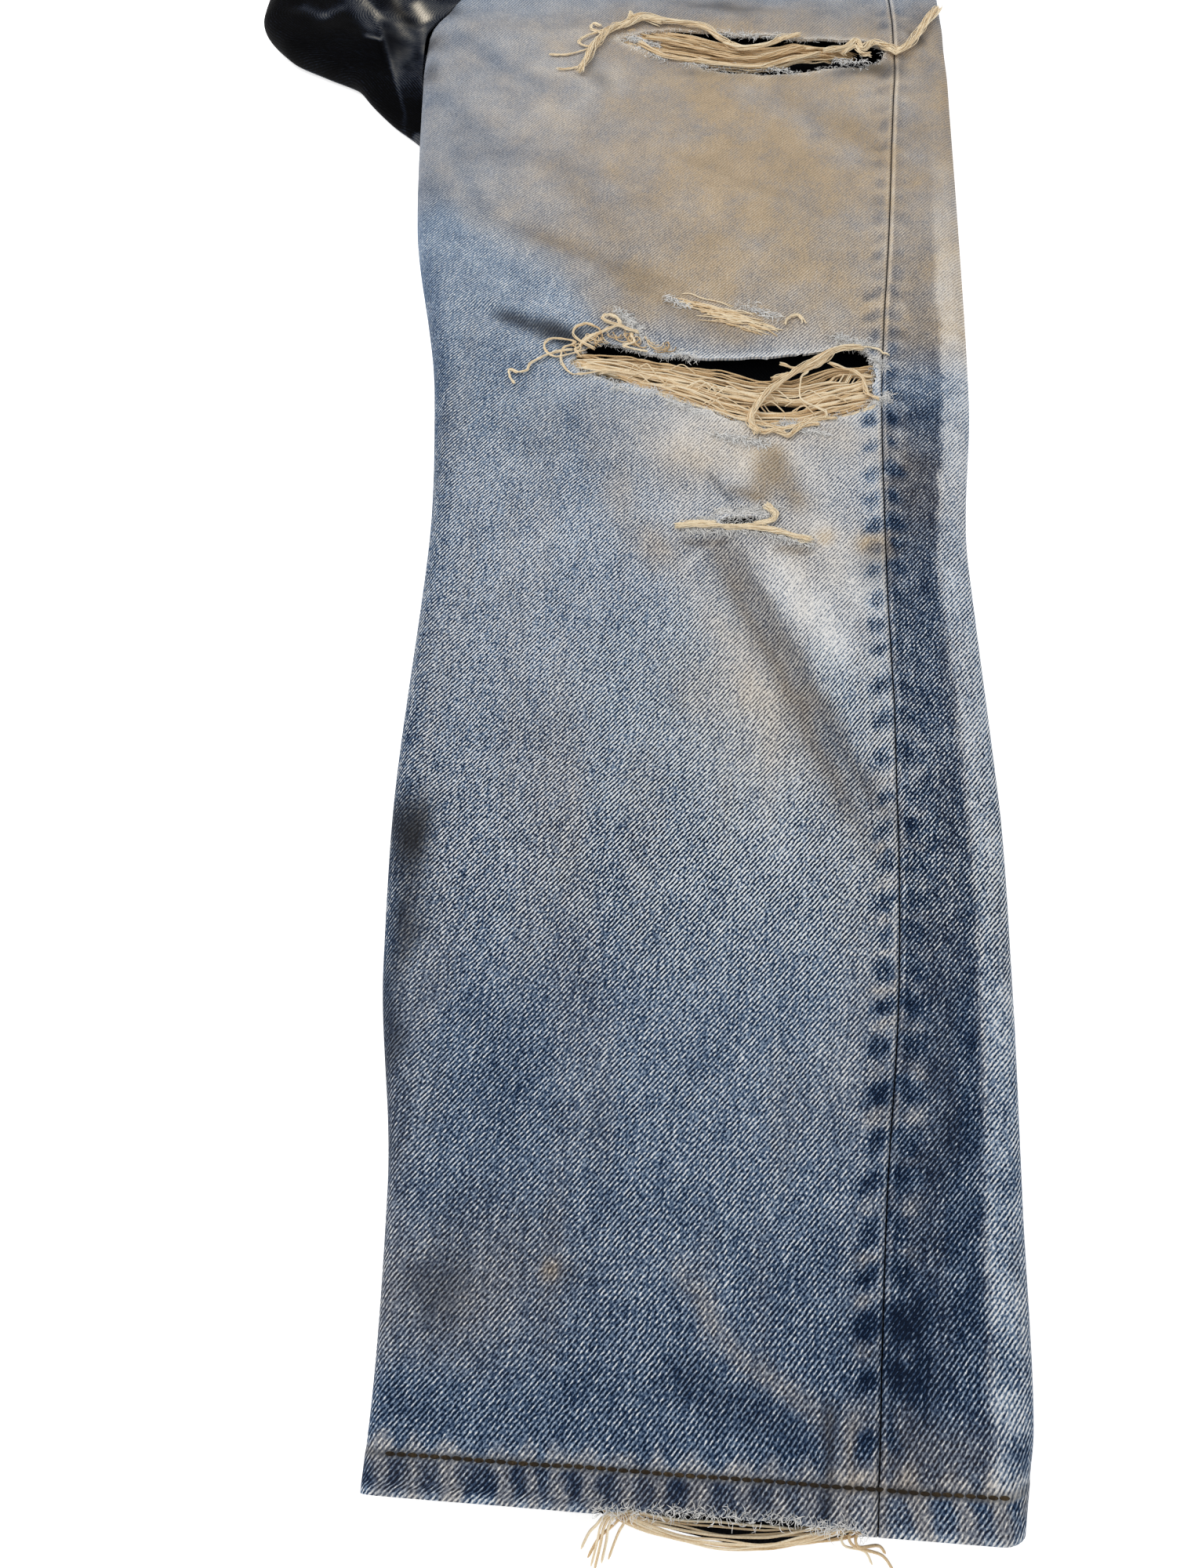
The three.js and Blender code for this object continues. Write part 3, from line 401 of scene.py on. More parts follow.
# d is the signed distance from the side seam, fromEdge from the leg's fold
def clothMarks(x, up, d, fromEdge):
    inner = curveOf(leftHalf, "inner", up)
    across = np.clip((x - inner) / (60 - inner), 0, 1)
    left, mid, right, back = (np.interp(up, wearColumns["up"], wearColumns[n])
                              for n in ("left", "mid", "right", "back"))
    front = np.where(across < 0.5, left + (mid - left) * across * 2, mid + (right - mid) * (across * 2 - 1))
    isBack, far = d > 0, np.abs(d)
    wearAndShade = np.where(isBack, back, front)
    for row in wearSpots:
        wearAndShade = wearAndShade + row[5] * blob(x, up, row)
    low = np.interp(x, [-120, -60, -34, 90], [530, 488, 446, 436])
    thigh = smooth(0, 34, up - low) * smooth(760, 690, up)
    dirtAndShade = thigh * np.interp(x, [-140, -100, -60, -20, 20, 90], [0.3, 0.42, 0.54, 0.68, 0.82, 0.74])
    dirtAndShade = np.maximum(dirtAndShade, 0.08 * smooth(0.05, 0.7, noise(x, up * 0.14, 8, 43)))
    for row in dirtSpots:
        shape = blob(x + 8 * noise(x, up, 40, 36), up + 8 * noise(x, up, 37, 37), row)
        dirtAndShade = 1 - (1 - dirtAndShade) * (1 - row[5] * shape)
    stainAndShade = np.zeros_like(wearAndShade)
    # smudges, and the painted shadows listed with them
    for row in stainAndShadowSpots:
        shape = blob(x + 3 * noise(x, up, 12, 39), up + 3 * noise(x, up, 11, 40), row)
        stainAndShade = 1 - (1 - stainAndShade) * (1 - row[5] * shape)
    # painted crease shade: darker, browner valleys and shadow under torn lips, with painted highlights on
    # the ridges beside them
    for row in paintedCreaseShade:
        mask = lineMask(row, x + 1.5 * noise(x, up, 9, 44), up + 1.5 * noise(x, up, 10, 45))
        wearAndShade, dirtAndShade = wearAndShade + row[5] * mask, dirtAndShade + row[6] * mask
        stainAndShade = 1 - (1 - stainAndShade) * (1 - row[7] * mask)

    # worn marks of the seam allowance on both sides of the side seam
    k = nearestTrack(up)
    draw = trackDraw[k]
    dd = far + 1.5 * noise(x, up, 3.6, 41)
    uu = up + 1.9 * noise(x, up, 4.6, 42) + 0.3 * (far - 4)
    shown = (0.3 + 0.7 * smooth(540, 400, up)) * (0.55 + 0.45 * smooth(8, 40, up))
    force = np.where(isBack, 0.5 + 0.5 * draw[..., 0], 0.6 + 0.4 * draw[..., 1]) * shown
    centre = np.where(isBack, 3.6 + 1.4 * draw[..., 2], 4.4 + 1.4 * draw[..., 3])
    wide, tall = 3.0 + 2.0 * draw[..., 4], 3.0 + 2.0 * draw[..., 5]
    spot = np.exp(-(((dd - centre) / wide) ** 2
                    + ((uu - trackUps[k] - np.where(isBack, 2.4, 0)) / tall) ** 2) ** 1.8)
    off = np.where(up > trackUps[k], up - trackUps[k] - 7, up - trackUps[k] + 7)
    pale = np.exp(-(((dd - np.where(isBack, 7, 6)) / 3.6) ** 2
                    + ((off + 2 * noise(x, up, 5, 46)) / 3.2) ** 2) ** 1.5)
    wearAndShade = wearAndShade - np.where(isBack, 0.2, 0.48) * force * spot + np.where(isBack, 0.26, 0.12) * pale * force
    dirtAndShade = dirtAndShade + 0.25 * pale * force * smooth(330, 200, up) - 0.5 * spot * force
    wearAndShade = (wearAndShade + isBack * smooth(560, 420, up)
            * (0.1 * noise(x, up, 3.8, 50) + 0.08 * noise(x, up, 8.5, 56)))
    ridge = np.exp(-((far - 1.6) / 0.8) ** 2) * (0.75 + 0.3 * noise(x, up, 3, 59))
    wearAndShade, dirtAndShade = wearAndShade + np.where(isBack, 0.34, 0.22) * ridge, dirtAndShade + 0.22 * ridge
    stainAndShade = np.maximum(stainAndShade, 0.8 * np.exp(-(far / 0.36) ** 2))
    line = fromEdge + 0.8 * noise(x, up, 24, 31) + 0.7 * noise(x, up, 5, 57)
    strip = smooth(15.6, 12, line) * isBack * smooth(640, 420, up)
    wearAndShade = wearAndShade + strip * (0.44 - 0.06 * noise(x, up, 14, 32)) * (0.86 + 0.14 * smooth(60, 200, up))
    rub = (np.exp(-((line - 13.6) / 1.3) ** 2) * isBack * smooth(500, 300, up)
           * (0.6 + 0.5 * noise(x, up, 11, 49)))
    wearAndShade, dirtAndShade = wearAndShade + 0.08 * rub, dirtAndShade + 0.2 * rub

    # roped hem
    rope = (np.sin(2 * np.pi * (x + 0.15 * up) / 10.2 + 2.6 * noise(x, up * 0.4, 17, 8))
            + 0.8 * noise(x, up, 3.4, 33))
    dark = smooth(-0.6, 0.4, rope) * (0.72 + 0.5 * noise(x, up, 13, 47))
    inHem = smooth(10.6, 9.8, up)
    bare = (0.48 + 0.09 * smooth(40, 50, x) - (0.42 - 0.2 * smooth(40, 50, x)) * dark * smooth(1.4, 3.4, up)
            + 0.16 * smooth(2.2, 0.8, up))
    wearAndShade = wearAndShade * (1 - inHem) + inHem * bare
    dirtAndShade = dirtAndShade * (1 - 0.6 * inHem) + 0.34 * inHem * (1 - dark)
    tooth = 14 - 1.8 * rope
    above = smooth(tooth + 2.2, tooth - 1.2, up) * (1 - inHem)
    wave = 33 + 6 * noise(x, x * 0, 19, 52) + 3 * noise(x, x * 0, 7, 53)
    deep = smooth(wave, wave - 12, up) * (1 - above) * (1 - inHem) * smooth(58, 38, x)
    wearAndShade, dirtAndShade = wearAndShade + 0.16 * above - 0.06 * deep, dirtAndShade + 0.24 * above - 0.1 * deep
    stainAndShade = np.maximum(stainAndShade, 0.88 * np.exp(-((up - cloth["hemHeight"]) / 0.8) ** 2))

    # darker along the front's inner fold edge
    byFold = smooth(12, 2, fromEdge) * ~isBack * smooth(60, 120, up)
    wearAndShade = wearAndShade - (0.08 + 0.12 * smooth(520, 440, up)) * byFold
    wearAndShade = wearAndShade + 0.05 * noise(x, up, 31, 34) + 0.04 * noise(x, up, 12, 35) + 0.03 * noise(x, up, 5, 48)
    for name in ("knee", "thigh", "shin"):
        wearAndShade = wearAndShade + 0.26 * np.exp(-(nearestOn(tornLines[name], x, up)[2] / 2.2) ** 2) * ~isBack
    dirtAndShade = np.clip(dirtAndShade * (1 + 0.2 * noise(x, up, 17, 38)), 0, 1)
    weave = np.interp(up, weaveShown["up"], weaveShown["amount"]) * (1 - 0.3 * dirtAndShade) * (1 - 0.5 * stainAndShade)
    return {"wearAndShade": wearAndShade, "dirtAndShade": dirtAndShade, "stainAndShade": np.clip(stainAndShade, 0, 1), "weave": weave}


# Materials

def linear(r, g, b):
    return tuple(c / 12.92 if c <= 0.04045 else ((c + 0.055) / 1.055) ** 2.4
                 for c in (r / 255, g / 255, b / 255)) + (1,)


def put(tree, kind, sockets=None, **settings):
    node = tree.nodes.new(kind)
    for key, value in settings.items():
        setattr(node, key, value)
    for key, value in (sockets or {}).items():
        if isinstance(value, bpy.types.NodeSocket):
            tree.links.new(value, node.inputs[key])
        else:
            node.inputs[key].default_value = value
    return node


def calc(tree, op, a, b=0.0, c=0.0, clamp=False):
    return put(tree, "ShaderNodeMath", {0: a, 1: b, 2: c}, operation=op, use_clamp=clamp).outputs[0]


def mixColor(tree, factor, a, b, kind="MIX"):
    return put(tree, "ShaderNodeMix", {0: factor, 6: a, 7: b}, data_type="RGBA", blend_type=kind).outputs[2]


def ramp(tree, factor, stops):
    node = put(tree, "ShaderNodeValToRGB", {0: factor})
    band = node.color_ramp
    while len(band.elements) < len(stops):
        band.elements.new(0.5)
    for element, (place, color) in zip(band.elements, stops):
        element.position, element.color = place, color
    return node.outputs[0]


def scaled(tree, vector, x, y):
    return put(tree, "ShaderNodeVectorMath", {0: vector, 1: (x, y, 1.0)}, operation="MULTIPLY").outputs[0]


def cloudy(tree, vector, detail=2.0, rough=0.5):  # noise about zero
    node = put(tree, "ShaderNodeTexNoise",
               {"Vector": vector, "Scale": 1.0, "Detail": detail, "Roughness": rough})
    return calc(tree, "SUBTRACT", node.outputs[0], 0.5)


def twillGroup():  # diagonal weave on cloth coordinates in millimetres
    tree = bpy.data.node_groups.new("twillWeave", "ShaderNodeTree")
    face = tree.interface
    face.new_socket("Vector", in_out="INPUT", socket_type="NodeSocketVector")
    for name, value in (("Pitch", 1.3), ("Angle", 0.916), ("Waver", 0.6)):
        face.new_socket(name, in_out="INPUT", socket_type="NodeSocketFloat").default_value = value
    for name in ("Grain", "Streak", "Mottle", "Speckle"):
        face.new_socket(name, in_out="OUTPUT", socket_type="NodeSocketFloat")
    given, made = tree.nodes.new("NodeGroupInput"), tree.nodes.new("NodeGroupOutput")
    vector = given.outputs["Vector"]
    part = put(tree, "ShaderNodeSeparateXYZ", {0: vector})
    u, v = part.outputs[0], part.outputs[1]
    cosA, sinA = (calc(tree, op, given.outputs["Angle"]) for op in ("COSINE", "SINE"))
    along = calc(tree, "ADD", calc(tree, "MULTIPLY", u, cosA), calc(tree, "MULTIPLY", v, sinA))
    across = calc(tree, "SUBTRACT", calc(tree, "MULTIPLY", v, cosA), calc(tree, "MULTIPLY", u, sinA))
    waver = calc(tree, "MULTIPLY", cloudy(tree, scaled(tree, vector, 0.16, 0.1)), given.outputs["Waver"])
    phase = calc(tree, "DIVIDE", calc(tree, "ADD", across, waver), given.outputs["Pitch"])
    line = calc(tree, "SINE", calc(tree, "MULTIPLY", phase, 2 * math.pi))
    yarn = cloudy(tree, scaled(tree, vector, 1.2, 0.09), 1.5, 0.6)  # warp yarns fade one by one
    place = put(tree, "ShaderNodeCombineXYZ", {0: along, 1: calc(tree, "MULTIPLY", across, 1.7)})
    fleck = cloudy(tree, place.outputs[0], 1.0, 0.5)
    body = calc(tree, "MULTIPLY", line, calc(tree, "MULTIPLY_ADD", yarn, 1.4, 0.7))
    grain = calc(tree, "MULTIPLY_ADD", fleck, 3.2, calc(tree, "MULTIPLY_ADD", yarn, 0.8, body))
    streak = cloudy(tree, scaled(tree, vector, 0.34, 0.05), 2.5, 0.6)
    mottle = cloudy(tree, scaled(tree, vector, 0.085, 0.065), 3.0, 0.55)
    speckle = cloudy(tree, scaled(tree, vector, 0.75, 0.34), 2.5, 0.6)
    for name, socket in (("Grain", grain), ("Streak", streak), ("Mottle", mottle), ("Speckle", speckle)):
        tree.links.new(socket, made.inputs[name])
    return tree


twill = twillGroup()


def newMaterial(name):
    material = bpy.data.materials.new(name)
    material.use_nodes = True
    material.node_tree.nodes.clear()
    return material, material.node_tree


def finishMaterial(tree, color, normal=None, **values):
    shader = put(tree, "ShaderNodeBsdfPrincipled", {"Base Color": color})
    for name, value in values.items():
        shader.inputs[name.replace("_", " ")].default_value = value
    if normal is not None:
        tree.links.new(normal, shader.inputs["Normal"])
    put(tree, "ShaderNodeOutputMaterial", {0: shader.outputs[0]})


def attribute(tree, name, output="Fac"):
    return put(tree, "ShaderNodeAttribute", attribute_name=name).outputs[output]


denimLook = {
    "grain": 0.62, "streak": 0.3, "mottle": 0.16, "speckle": 0.85, "bump": 0.0003,
    "indigo": [(0.0, linear(11, 25, 46)), (0.15, linear(28, 47, 74)), (0.3, linear(53, 73, 101)),
               (0.45, linear(86, 105, 130)), (0.62, linear(127, 145, 167)), (0.76, linear(158, 174, 194)),
               (0.9, linear(199, 208, 217)), (1.0, linear(241, 243, 245))],
    "soil": [(0.0, linear(80, 72, 62)), (0.3, linear(138, 126, 110)), (0.6, linear(194, 172, 143)),
             (1.0, linear(240, 228, 209))],
    # colour of stains and of painted shade
    "smudgeAndShade": linear(38, 36, 36),
}


def fadedDenim(name, look):
    material, tree = newMaterial(name)
    vector = attribute(tree, "cloth", "Vector")
    weave = put(tree, "ShaderNodeGroup", node_tree=twill)
    tree.links.new(vector, weave.inputs["Vector"])
    wearAndShade, dirtAndShade, stainAndShade, shown = (attribute(tree, n) for n in ("wearAndShade", "dirtAndShade", "stainAndShade", "weave"))
    pattern = calc(tree, "MULTIPLY_ADD", weave.outputs["Grain"], look["grain"],
                   calc(tree, "MULTIPLY", weave.outputs["Streak"], look["streak"]))
    pattern = calc(tree, "MULTIPLY_ADD", weave.outputs["Speckle"], look["speckle"], pattern)
    fade = calc(tree, "MULTIPLY_ADD", pattern, shown,
                calc(tree, "MULTIPLY_ADD", weave.outputs["Mottle"], look["mottle"], wearAndShade))
    color = ramp(tree, fade, look["indigo"])
    # soil tint, which also tints the painted crease shade brown
    soil = ramp(tree, calc(tree, "MULTIPLY_ADD", calc(tree, "SUBTRACT", fade, 0.7), 0.9, 0.55),
                look["soil"])
    patchy = calc(tree, "MULTIPLY_ADD", weave.outputs["Mottle"], 0.8,
                  calc(tree, "MULTIPLY", weave.outputs["Speckle"], 0.7))
    spread = calc(tree, "MULTIPLY", dirtAndShade, calc(tree, "ADD", patchy, 1.0), clamp=True)
    color = mixColor(tree, spread, color, soil)
    # stains and painted shade darken the colour
    color = mixColor(tree, stainAndShade, color, look["smudgeAndShade"])
    bump = put(tree, "ShaderNodeBump",
               {"Strength": 0.6, "Distance": look["bump"], "Height": weave.outputs["Grain"]})
    finishMaterial(tree, color, bump.outputs[0], Roughness=0.93, Specular_IOR_Level=0.1)
    return material


# inside face of the cloth, made near-black: painted shade, so the hollow seen through the rips reads dark
def insideDenim(name, low, high):
    material, tree = newMaterial(name)
    vector = attribute(tree, "cloth", "Vector")
    weave = put(tree, "ShaderNodeGroup", node_tree=twill)
    tree.links.new(vector, weave.inputs["Vector"])
    color = ramp(tree, calc(tree, "MULTIPLY_ADD", weave.outputs["Grain"], 0.4, 0.5),
                 [(0.0, low), (1.0, high)])
    bump = put(tree, "ShaderNodeBump",
               {"Strength": 0.5, "Distance": 0.0002, "Height": weave.outputs["Grain"]})
    finishMaterial(tree, color, bump.outputs[0], Roughness=0.95, Specular_IOR_Level=0.1)
    return material


def seatDenim(name):  # near-black on the seat lobe, paler denim towards the centre front
    material, tree = newMaterial(name)
    vector = attribute(tree, "cloth", "Vector")
    weave = put(tree, "ShaderNodeGroup", node_tree=twill)
    tree.links.new(vector, weave.inputs["Vector"])
    wearAndShade, stainAndShade = attribute(tree, "wearAndShade"), attribute(tree, "stainAndShade")
    fade = calc(tree, "MULTIPLY_ADD", weave.outputs["Grain"], 0.1,
                calc(tree, "MULTIPLY_ADD", weave.outputs["Mottle"], 0.12, wearAndShade))
    # the paler stops give worn denim and the painted sheen highlights
    color = ramp(tree, fade,
                 [(0.0, linear(3, 3, 4)), (0.12, linear(9, 9, 11)), (0.22, linear(24, 30, 42)),
                  (0.4, linear(72, 74, 78)),
                              (0.62, linear(132, 128, 120)), (1.0, linear(228, 217, 199))])
    color = mixColor(tree, stainAndShade, color, linear(14, 14, 17))
    bump = put(tree, "ShaderNodeBump",
               {"Strength": 0.35, "Distance": 0.00018, "Height": weave.outputs["Grain"]})
    finishMaterial(tree, color, bump.outputs[0], Roughness=0.6, Specular_IOR_Level=0.02)
    return material


def cottonThread(name, deep, middle, pale):
    material, tree = newMaterial(name)
    shade = attribute(tree, "shade")
    spin = put(tree, "ShaderNodeTexNoise",
               {"Vector": scaled(tree, attribute(tree, "cloth", "Vector"), 1.6, 1.0), "Scale": 1.0,
                "Detail": 2.0})
    tone = calc(tree, "MULTIPLY_ADD", calc(tree, "SUBTRACT", spin.outputs[0], 0.5), 0.7, shade)
    # shade runs the ramp from deep to pale; low values paint strands lying in shadow darker
    color = ramp(tree, tone, [(0.0, deep), (0.5, middle), (1.0, pale)])
    finishMaterial(tree, color, Roughness=0.9, Specular_IOR_Level=0.15, Sheen_Weight=0.1)
    return material


denim = fadedDenim("fadedDenim", denimLook)
# near-black inside face: painted shade of the hollow inside the leg
shadedInsideDenim = insideDenim("shadedInsideDenim", linear(8, 9, 12), linear(20, 22, 28))
seat = seatDenim("seatDenim")
weftCotton = cottonThread("weftCotton", linear(112, 84, 50), linear(224, 192, 146), linear(255, 241, 212))
fuzzCotton = cottonThread("tornEdgeFuzz", linear(150, 158, 170), linear(212, 214, 216),
                          linear(250, 248, 244))
seamThread = cottonThread("seamThread", linear(24, 19, 14), linear(50, 40, 27), linear(98, 80, 52))
print("materials made")


# Cloth shells

def gridNormals(grid):
    across = np.gradient(grid, axis=1)
    along = np.gradient(grid, axis=0)
    n = np.cross(across, along)
    return n / np.maximum(np.linalg.norm(n, axis=2, keepdims=True), 1e-9)


def clothShell(name, grid, clothUv, marks, thickness, keep=None, materials=None, body="root"):
    rows, cols = grid.shape[:2]
    normal = gridNormals(grid)
    inside = grid - normal * (thickness[..., None] if np.ndim(thickness) else thickness)
    ids = np.arange(rows * cols).reshape(rows, cols)
    quads = np.stack([ids[:-1, :-1], ids[:-1, 1:], ids[1:, 1:], ids[1:, :-1]], axis=-1).reshape(-1, 4)
    if keep is not None:
        quads = quads[keep.reshape(-1)]
    edges = np.concatenate([quads[:, [0, 1]], quads[:, [1, 2]], quads[:, [2, 3]], quads[:, [3, 0]]])
    order = np.sort(edges, axis=1)
    key = order[:, 0] * (rows * cols) + order[:, 1]
    _, where, count = np.unique(key, return_index=True, return_counts=True)
    rim = edges[where[count == 1]]
    n = rows * cols
    rimQuads = np.c_[rim[:, 1], rim[:, 0], rim[:, 0] + n, rim[:, 1] + n]
    faces = np.concatenate([quads, quads[:, ::-1] + n, rimQuads])
    slots = np.r_[np.zeros(len(quads)), np.ones(len(quads)), np.zeros(len(rimQuads))].astype(np.int32)
    points = np.concatenate([grid.reshape(-1, 3), inside.reshape(-1, 3)])
    used = np.unique(faces)
    remap = np.full(len(points), -1)
    remap[used] = np.arange(len(used))
    mesh = bpy.data.meshes.new(name)
    mesh.from_pydata(toFrame(points[used]).tolist(), [], remap[faces].tolist())
    mesh.polygons.foreach_set("material_index", slots)
    both = {key: np.tile(np.asarray(value, float).reshape(-1), 2)[used] for key, value in marks.items()}
    for key, value in both.items():
        mesh.attributes.new(key, "FLOAT", "POINT").data.foreach_set("value", value.astype(np.float32))
    uv = np.tile(clothUv.reshape(-1, 2), (2, 1))[used]
    mesh.attributes.new("cloth", "FLOAT_VECTOR", "POINT").data.foreach_set(
        "vector", np.c_[uv, np.zeros(len(uv))].astype(np.float32).reshape(-1))
    for material in materials or (denim, shadedInsideDenim):
        mesh.materials.append(material)
    mesh.polygons.foreach_set("use_smooth", np.ones(len(faces), bool))
    mesh.set_sharp_from_angle(angle=math.radians(50))
    mesh.update()
    piece = bpy.data.objects.new(name, mesh)
    bpy.context.scene.collection.objects.link(piece)
    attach(piece, body)
    return piece


def cellMean(values):
    return (values[:-1, :-1] + values[:-1, 1:] + values[1:, 1:] + values[1:, :-1]) / 4


legRows = stations((0, 14, 1.15), (14, 724, 2.25), (724, 912.7, 6))
frontLook = {"closeColumns": 6, "closeStep": 0.5, "seamColumns": 22, "seamStep": 1.25, "columns": 116}


def seamPlaces(total, columns):  # closer together by the side seam
    close = np.arange(frontLook["closeColumns"]) * frontLook["closeStep"]
    fine = close[-1] + np.arange(1, frontLook["seamColumns"] + 1) * frontLook["seamStep"]
    fine = fine[fine < total - 3]
    wide = columns - len(close) - len(fine) + 1
    return np.r_[close, fine[:-1], np.linspace(fine[-1], total, wide)]


def frontPlaces(total):
    return seamPlaces(total, frontLook["columns"])[::-1]


def makeFrontLeft():
    grid, uv = [], []
    for up in legRows:
        points, at, total = resample(frontLeftLine(up), places=frontPlaces)
        grid.append(np.c_[points[:, 0], np.full(len(points), up), points[:, 1]])
        uv.append(np.c_[at - total, np.full(len(points), up)])
    grid, uv = np.array(grid), np.array(uv)
    x, up = grid[..., 0].copy(), grid[..., 1].copy()
    onTop = grid[..., 2] > cloth["upperBase"] + loftAt(up) * 0.62
    keep = np.ones((len(legRows) - 1, grid.shape[1] - 1), bool)
    for line in [*tornLines.values(), pocketMouth()]:
        hit = insideOf(line, cellMean(x), cellMean(up)) & (cellMean(onTop * 1.0) > 0.5)
        keep &= ~hit
        touch = np.zeros_like(onTop)
        for a, b in ((0, 0), (0, 1), (1, 0), (1, 1)):
            touch[a:a + hit.shape[0], b:b + hit.shape[1]] |= hit
        pick = touch & onTop
        px, py, far = nearestOn(line, x[pick], up[pick])
        move = far < 3.2
        fx, fy = np.where(move, px, x[pick]), np.where(move, py, up[pick])
        grid[pick] = np.c_[fx, fy, topHeight(fx, fy)]
        uv[pick] += np.c_[fx - x[pick], fy - up[pick]]
    x, up = grid[..., 0], grid[..., 1]
    lip = np.zeros_like(x)
    for name in ("knee", "thigh", "shin"):  # torn lips lift and curl a little
        far = nearestOn(tornLines[name], x.reshape(-1), up.reshape(-1))[2].reshape(x.shape)
        lip += (0.5 + 0.7 * noise(x, up, 8, 51)) * np.exp(-(far / 3.4) ** 2) * onTop
    grid[..., 2] += lip
    marks = clothMarks(x, up, np.minimum(uv[..., 0], -0.01), np.abs(x - curveOf(leftHalf, "inner", up)))
    thick = np.where(up < cloth["hemHeight"], 1.9, 1.25)
    return clothShell("frontLeftCloth", grid, uv, marks, thick, keep)


backColumns = {"top": 34, "turn": 14, "under": 14}


def backPlaces(total):
    return seamPlaces(total, backColumns["top"])


def makeBackLeft():
    grid, uv, edge = [], [], []
    for up in legRows:
        top, turn, under = backLeftLine(up)
        outer = float(curveOf(leftHalf, "outer", up))
        parts, start = [], 0.0
        for line, count in zip((top, turn, under), backColumns.values()):
            points, at, total = resample(line, count=count)
            if line is top:
                points, at, total = resample(line[::-1], places=backPlaces)
                at = total - at
            parts.append((points[1:] if start else points, at[1:] + start if start else at))
            start += total
        points = np.concatenate([p for p, _ in parts])
        at = np.concatenate([a for _, a in parts])
        topLength = parts[0][1][-1]
        grid.append(np.c_[points[:, 0], np.full(len(points), up), points[:, 1]])
        uv.append(np.c_[at + cloth["seamGap"], np.full(len(points), up)])
        edge.append(np.where(at <= topLength, outer - points[:, 0],
                             np.maximum(0, 6 - (at - topLength) * 0.3)))
    grid, uv, edge = np.array(grid), np.array(uv), np.array(edge)
    marks = clothMarks(grid[..., 0], grid[..., 1], np.maximum(uv[..., 0], 0.01), edge)
    # the inside shows under the torn hem
    lower = smooth(cloth["upperBase"] + 5, cloth["upperBase"] + 1, grid[..., 2])
    grid[..., 1] -= 5.5 * np.exp(-((grid[..., 0] - 18) / 27) ** 2) * smooth(16, 0, grid[..., 1]) * lower
    under = smooth(40, 62, uv[..., 0])
    marks["wearAndShade"] = marks["wearAndShade"] * (1 - under) + 0.5 * under
    marks["dirtAndShade"], marks["stainAndShade"] = marks["dirtAndShade"] * (1 - under), marks["stainAndShade"] * (1 - under)
    marks["weave"] = marks["weave"] * (1 - under) + 0.7 * under
    thick = np.where(grid[..., 1] < cloth["hemHeight"], 1.9, 1.25)
    return clothShell("backLeftCloth", grid, uv, marks, thick)


lobeSeam = {"up": [640, 688, 707, 720, 780, 950], "x": [-150, -165, -173, -182, -170, -110]}
lobeSheen = [  # painted sheen highlights on the seat lobe: x0, up0, x1, up1, half width, amount added to wear and shade
    (-187, 724, -170, 692, 4.5, 0.3), (-214, 716, -199, 703, 4, 0.22), (-199, 703, -190, 716, 4, 0.22),
    (-150, 720, -142, 705, 3, 0.6), (-174, 687, -165, 686, 1.2, 0.5), (-166, 730, -156, 706, 2.6, 0.3),
    (-158, 700, -148, 686, 2.4, 0.22), (-178, 716, -166, 700, 2.4, 0.25),
    (-144, 700, -140, 676, 2, 0.2),
]


def makeFrontRight():
    grid, uv = [], []
    rows = stations((0, 12, 6), (12, 604, 9), (604, 764, 2), (764, 912.7, 5))
    for up in rows:
        parts, start = [], 0.0
        for line, count in zip(frontRightLine(up), (7, 20, 16, 44)):
            points, at, total = resample(line, count=count)
            parts.append((points[1:] if start else points, at[1:] + start if start else at))
            start += total
        points = np.concatenate([p for p, _ in parts])
        at = np.concatenate([a for _, a in parts])
        grid.append(np.c_[points[:, 0], np.full(len(points), up), points[:, 1]])
        uv.append(np.c_[at, np.full(len(points), up)])
    grid, uv = np.array(grid), np.array(uv)
    x, up, z = grid[..., 0], grid[..., 1], grid[..., 2]
    d = x - np.interp(up, lobeSeam["up"], lobeSeam["x"])
    onLobe = smooth(0.6, 3, z) * smooth(612, 636, up)
    worn = smooth(-1.5, 2.5, d) * smooth(8, 12, z) * onLobe
    wearAndShade = (0.04 + worn * (0.2 + 0.14 * noise(x, up, 13, 61) + 0.1 * noise(x, up, 5, 64))
            + 0.03 * noise(x, up, 20, 62))
    # painted sheen highlights
    for row in lobeSheen:
        wearAndShade = wearAndShade + row[5] * lineMask(row, x, up) * onLobe
    wearAndShade = np.where(onLobe > 0.5, wearAndShade, 0.34 + 0.05 * noise(x, up, 30, 63))
    ridge = np.exp(-((d - 1.2) / 1.3) ** 2) * onLobe
    # darker along a fold and by the lobe's lower edge
    stainAndShade = (worn
             * (0.9 * lineMask((-167, 722, -149, 700, 5), x, up)
                + 0.8 * blob(x, up, (-160, 684, 9, 12, 30))))
    grid[..., 2] += (0.7 * ridge - 0.9 * np.exp(-((d + 1.6) / 1.2) ** 2) * onLobe) * smooth(12, 16, z)
    marks = {"wearAndShade": wearAndShade + 0.16 * ridge, "dirtAndShade": np.zeros_like(x), "stainAndShade": np.clip(stainAndShade, 0, 1)}
    thick = np.where(up < cloth["hemHeight"], 1.8, 1.25)
    return clothShell("frontRightCloth", grid, uv, marks, thick, materials=(seat, shadedInsideDenim))


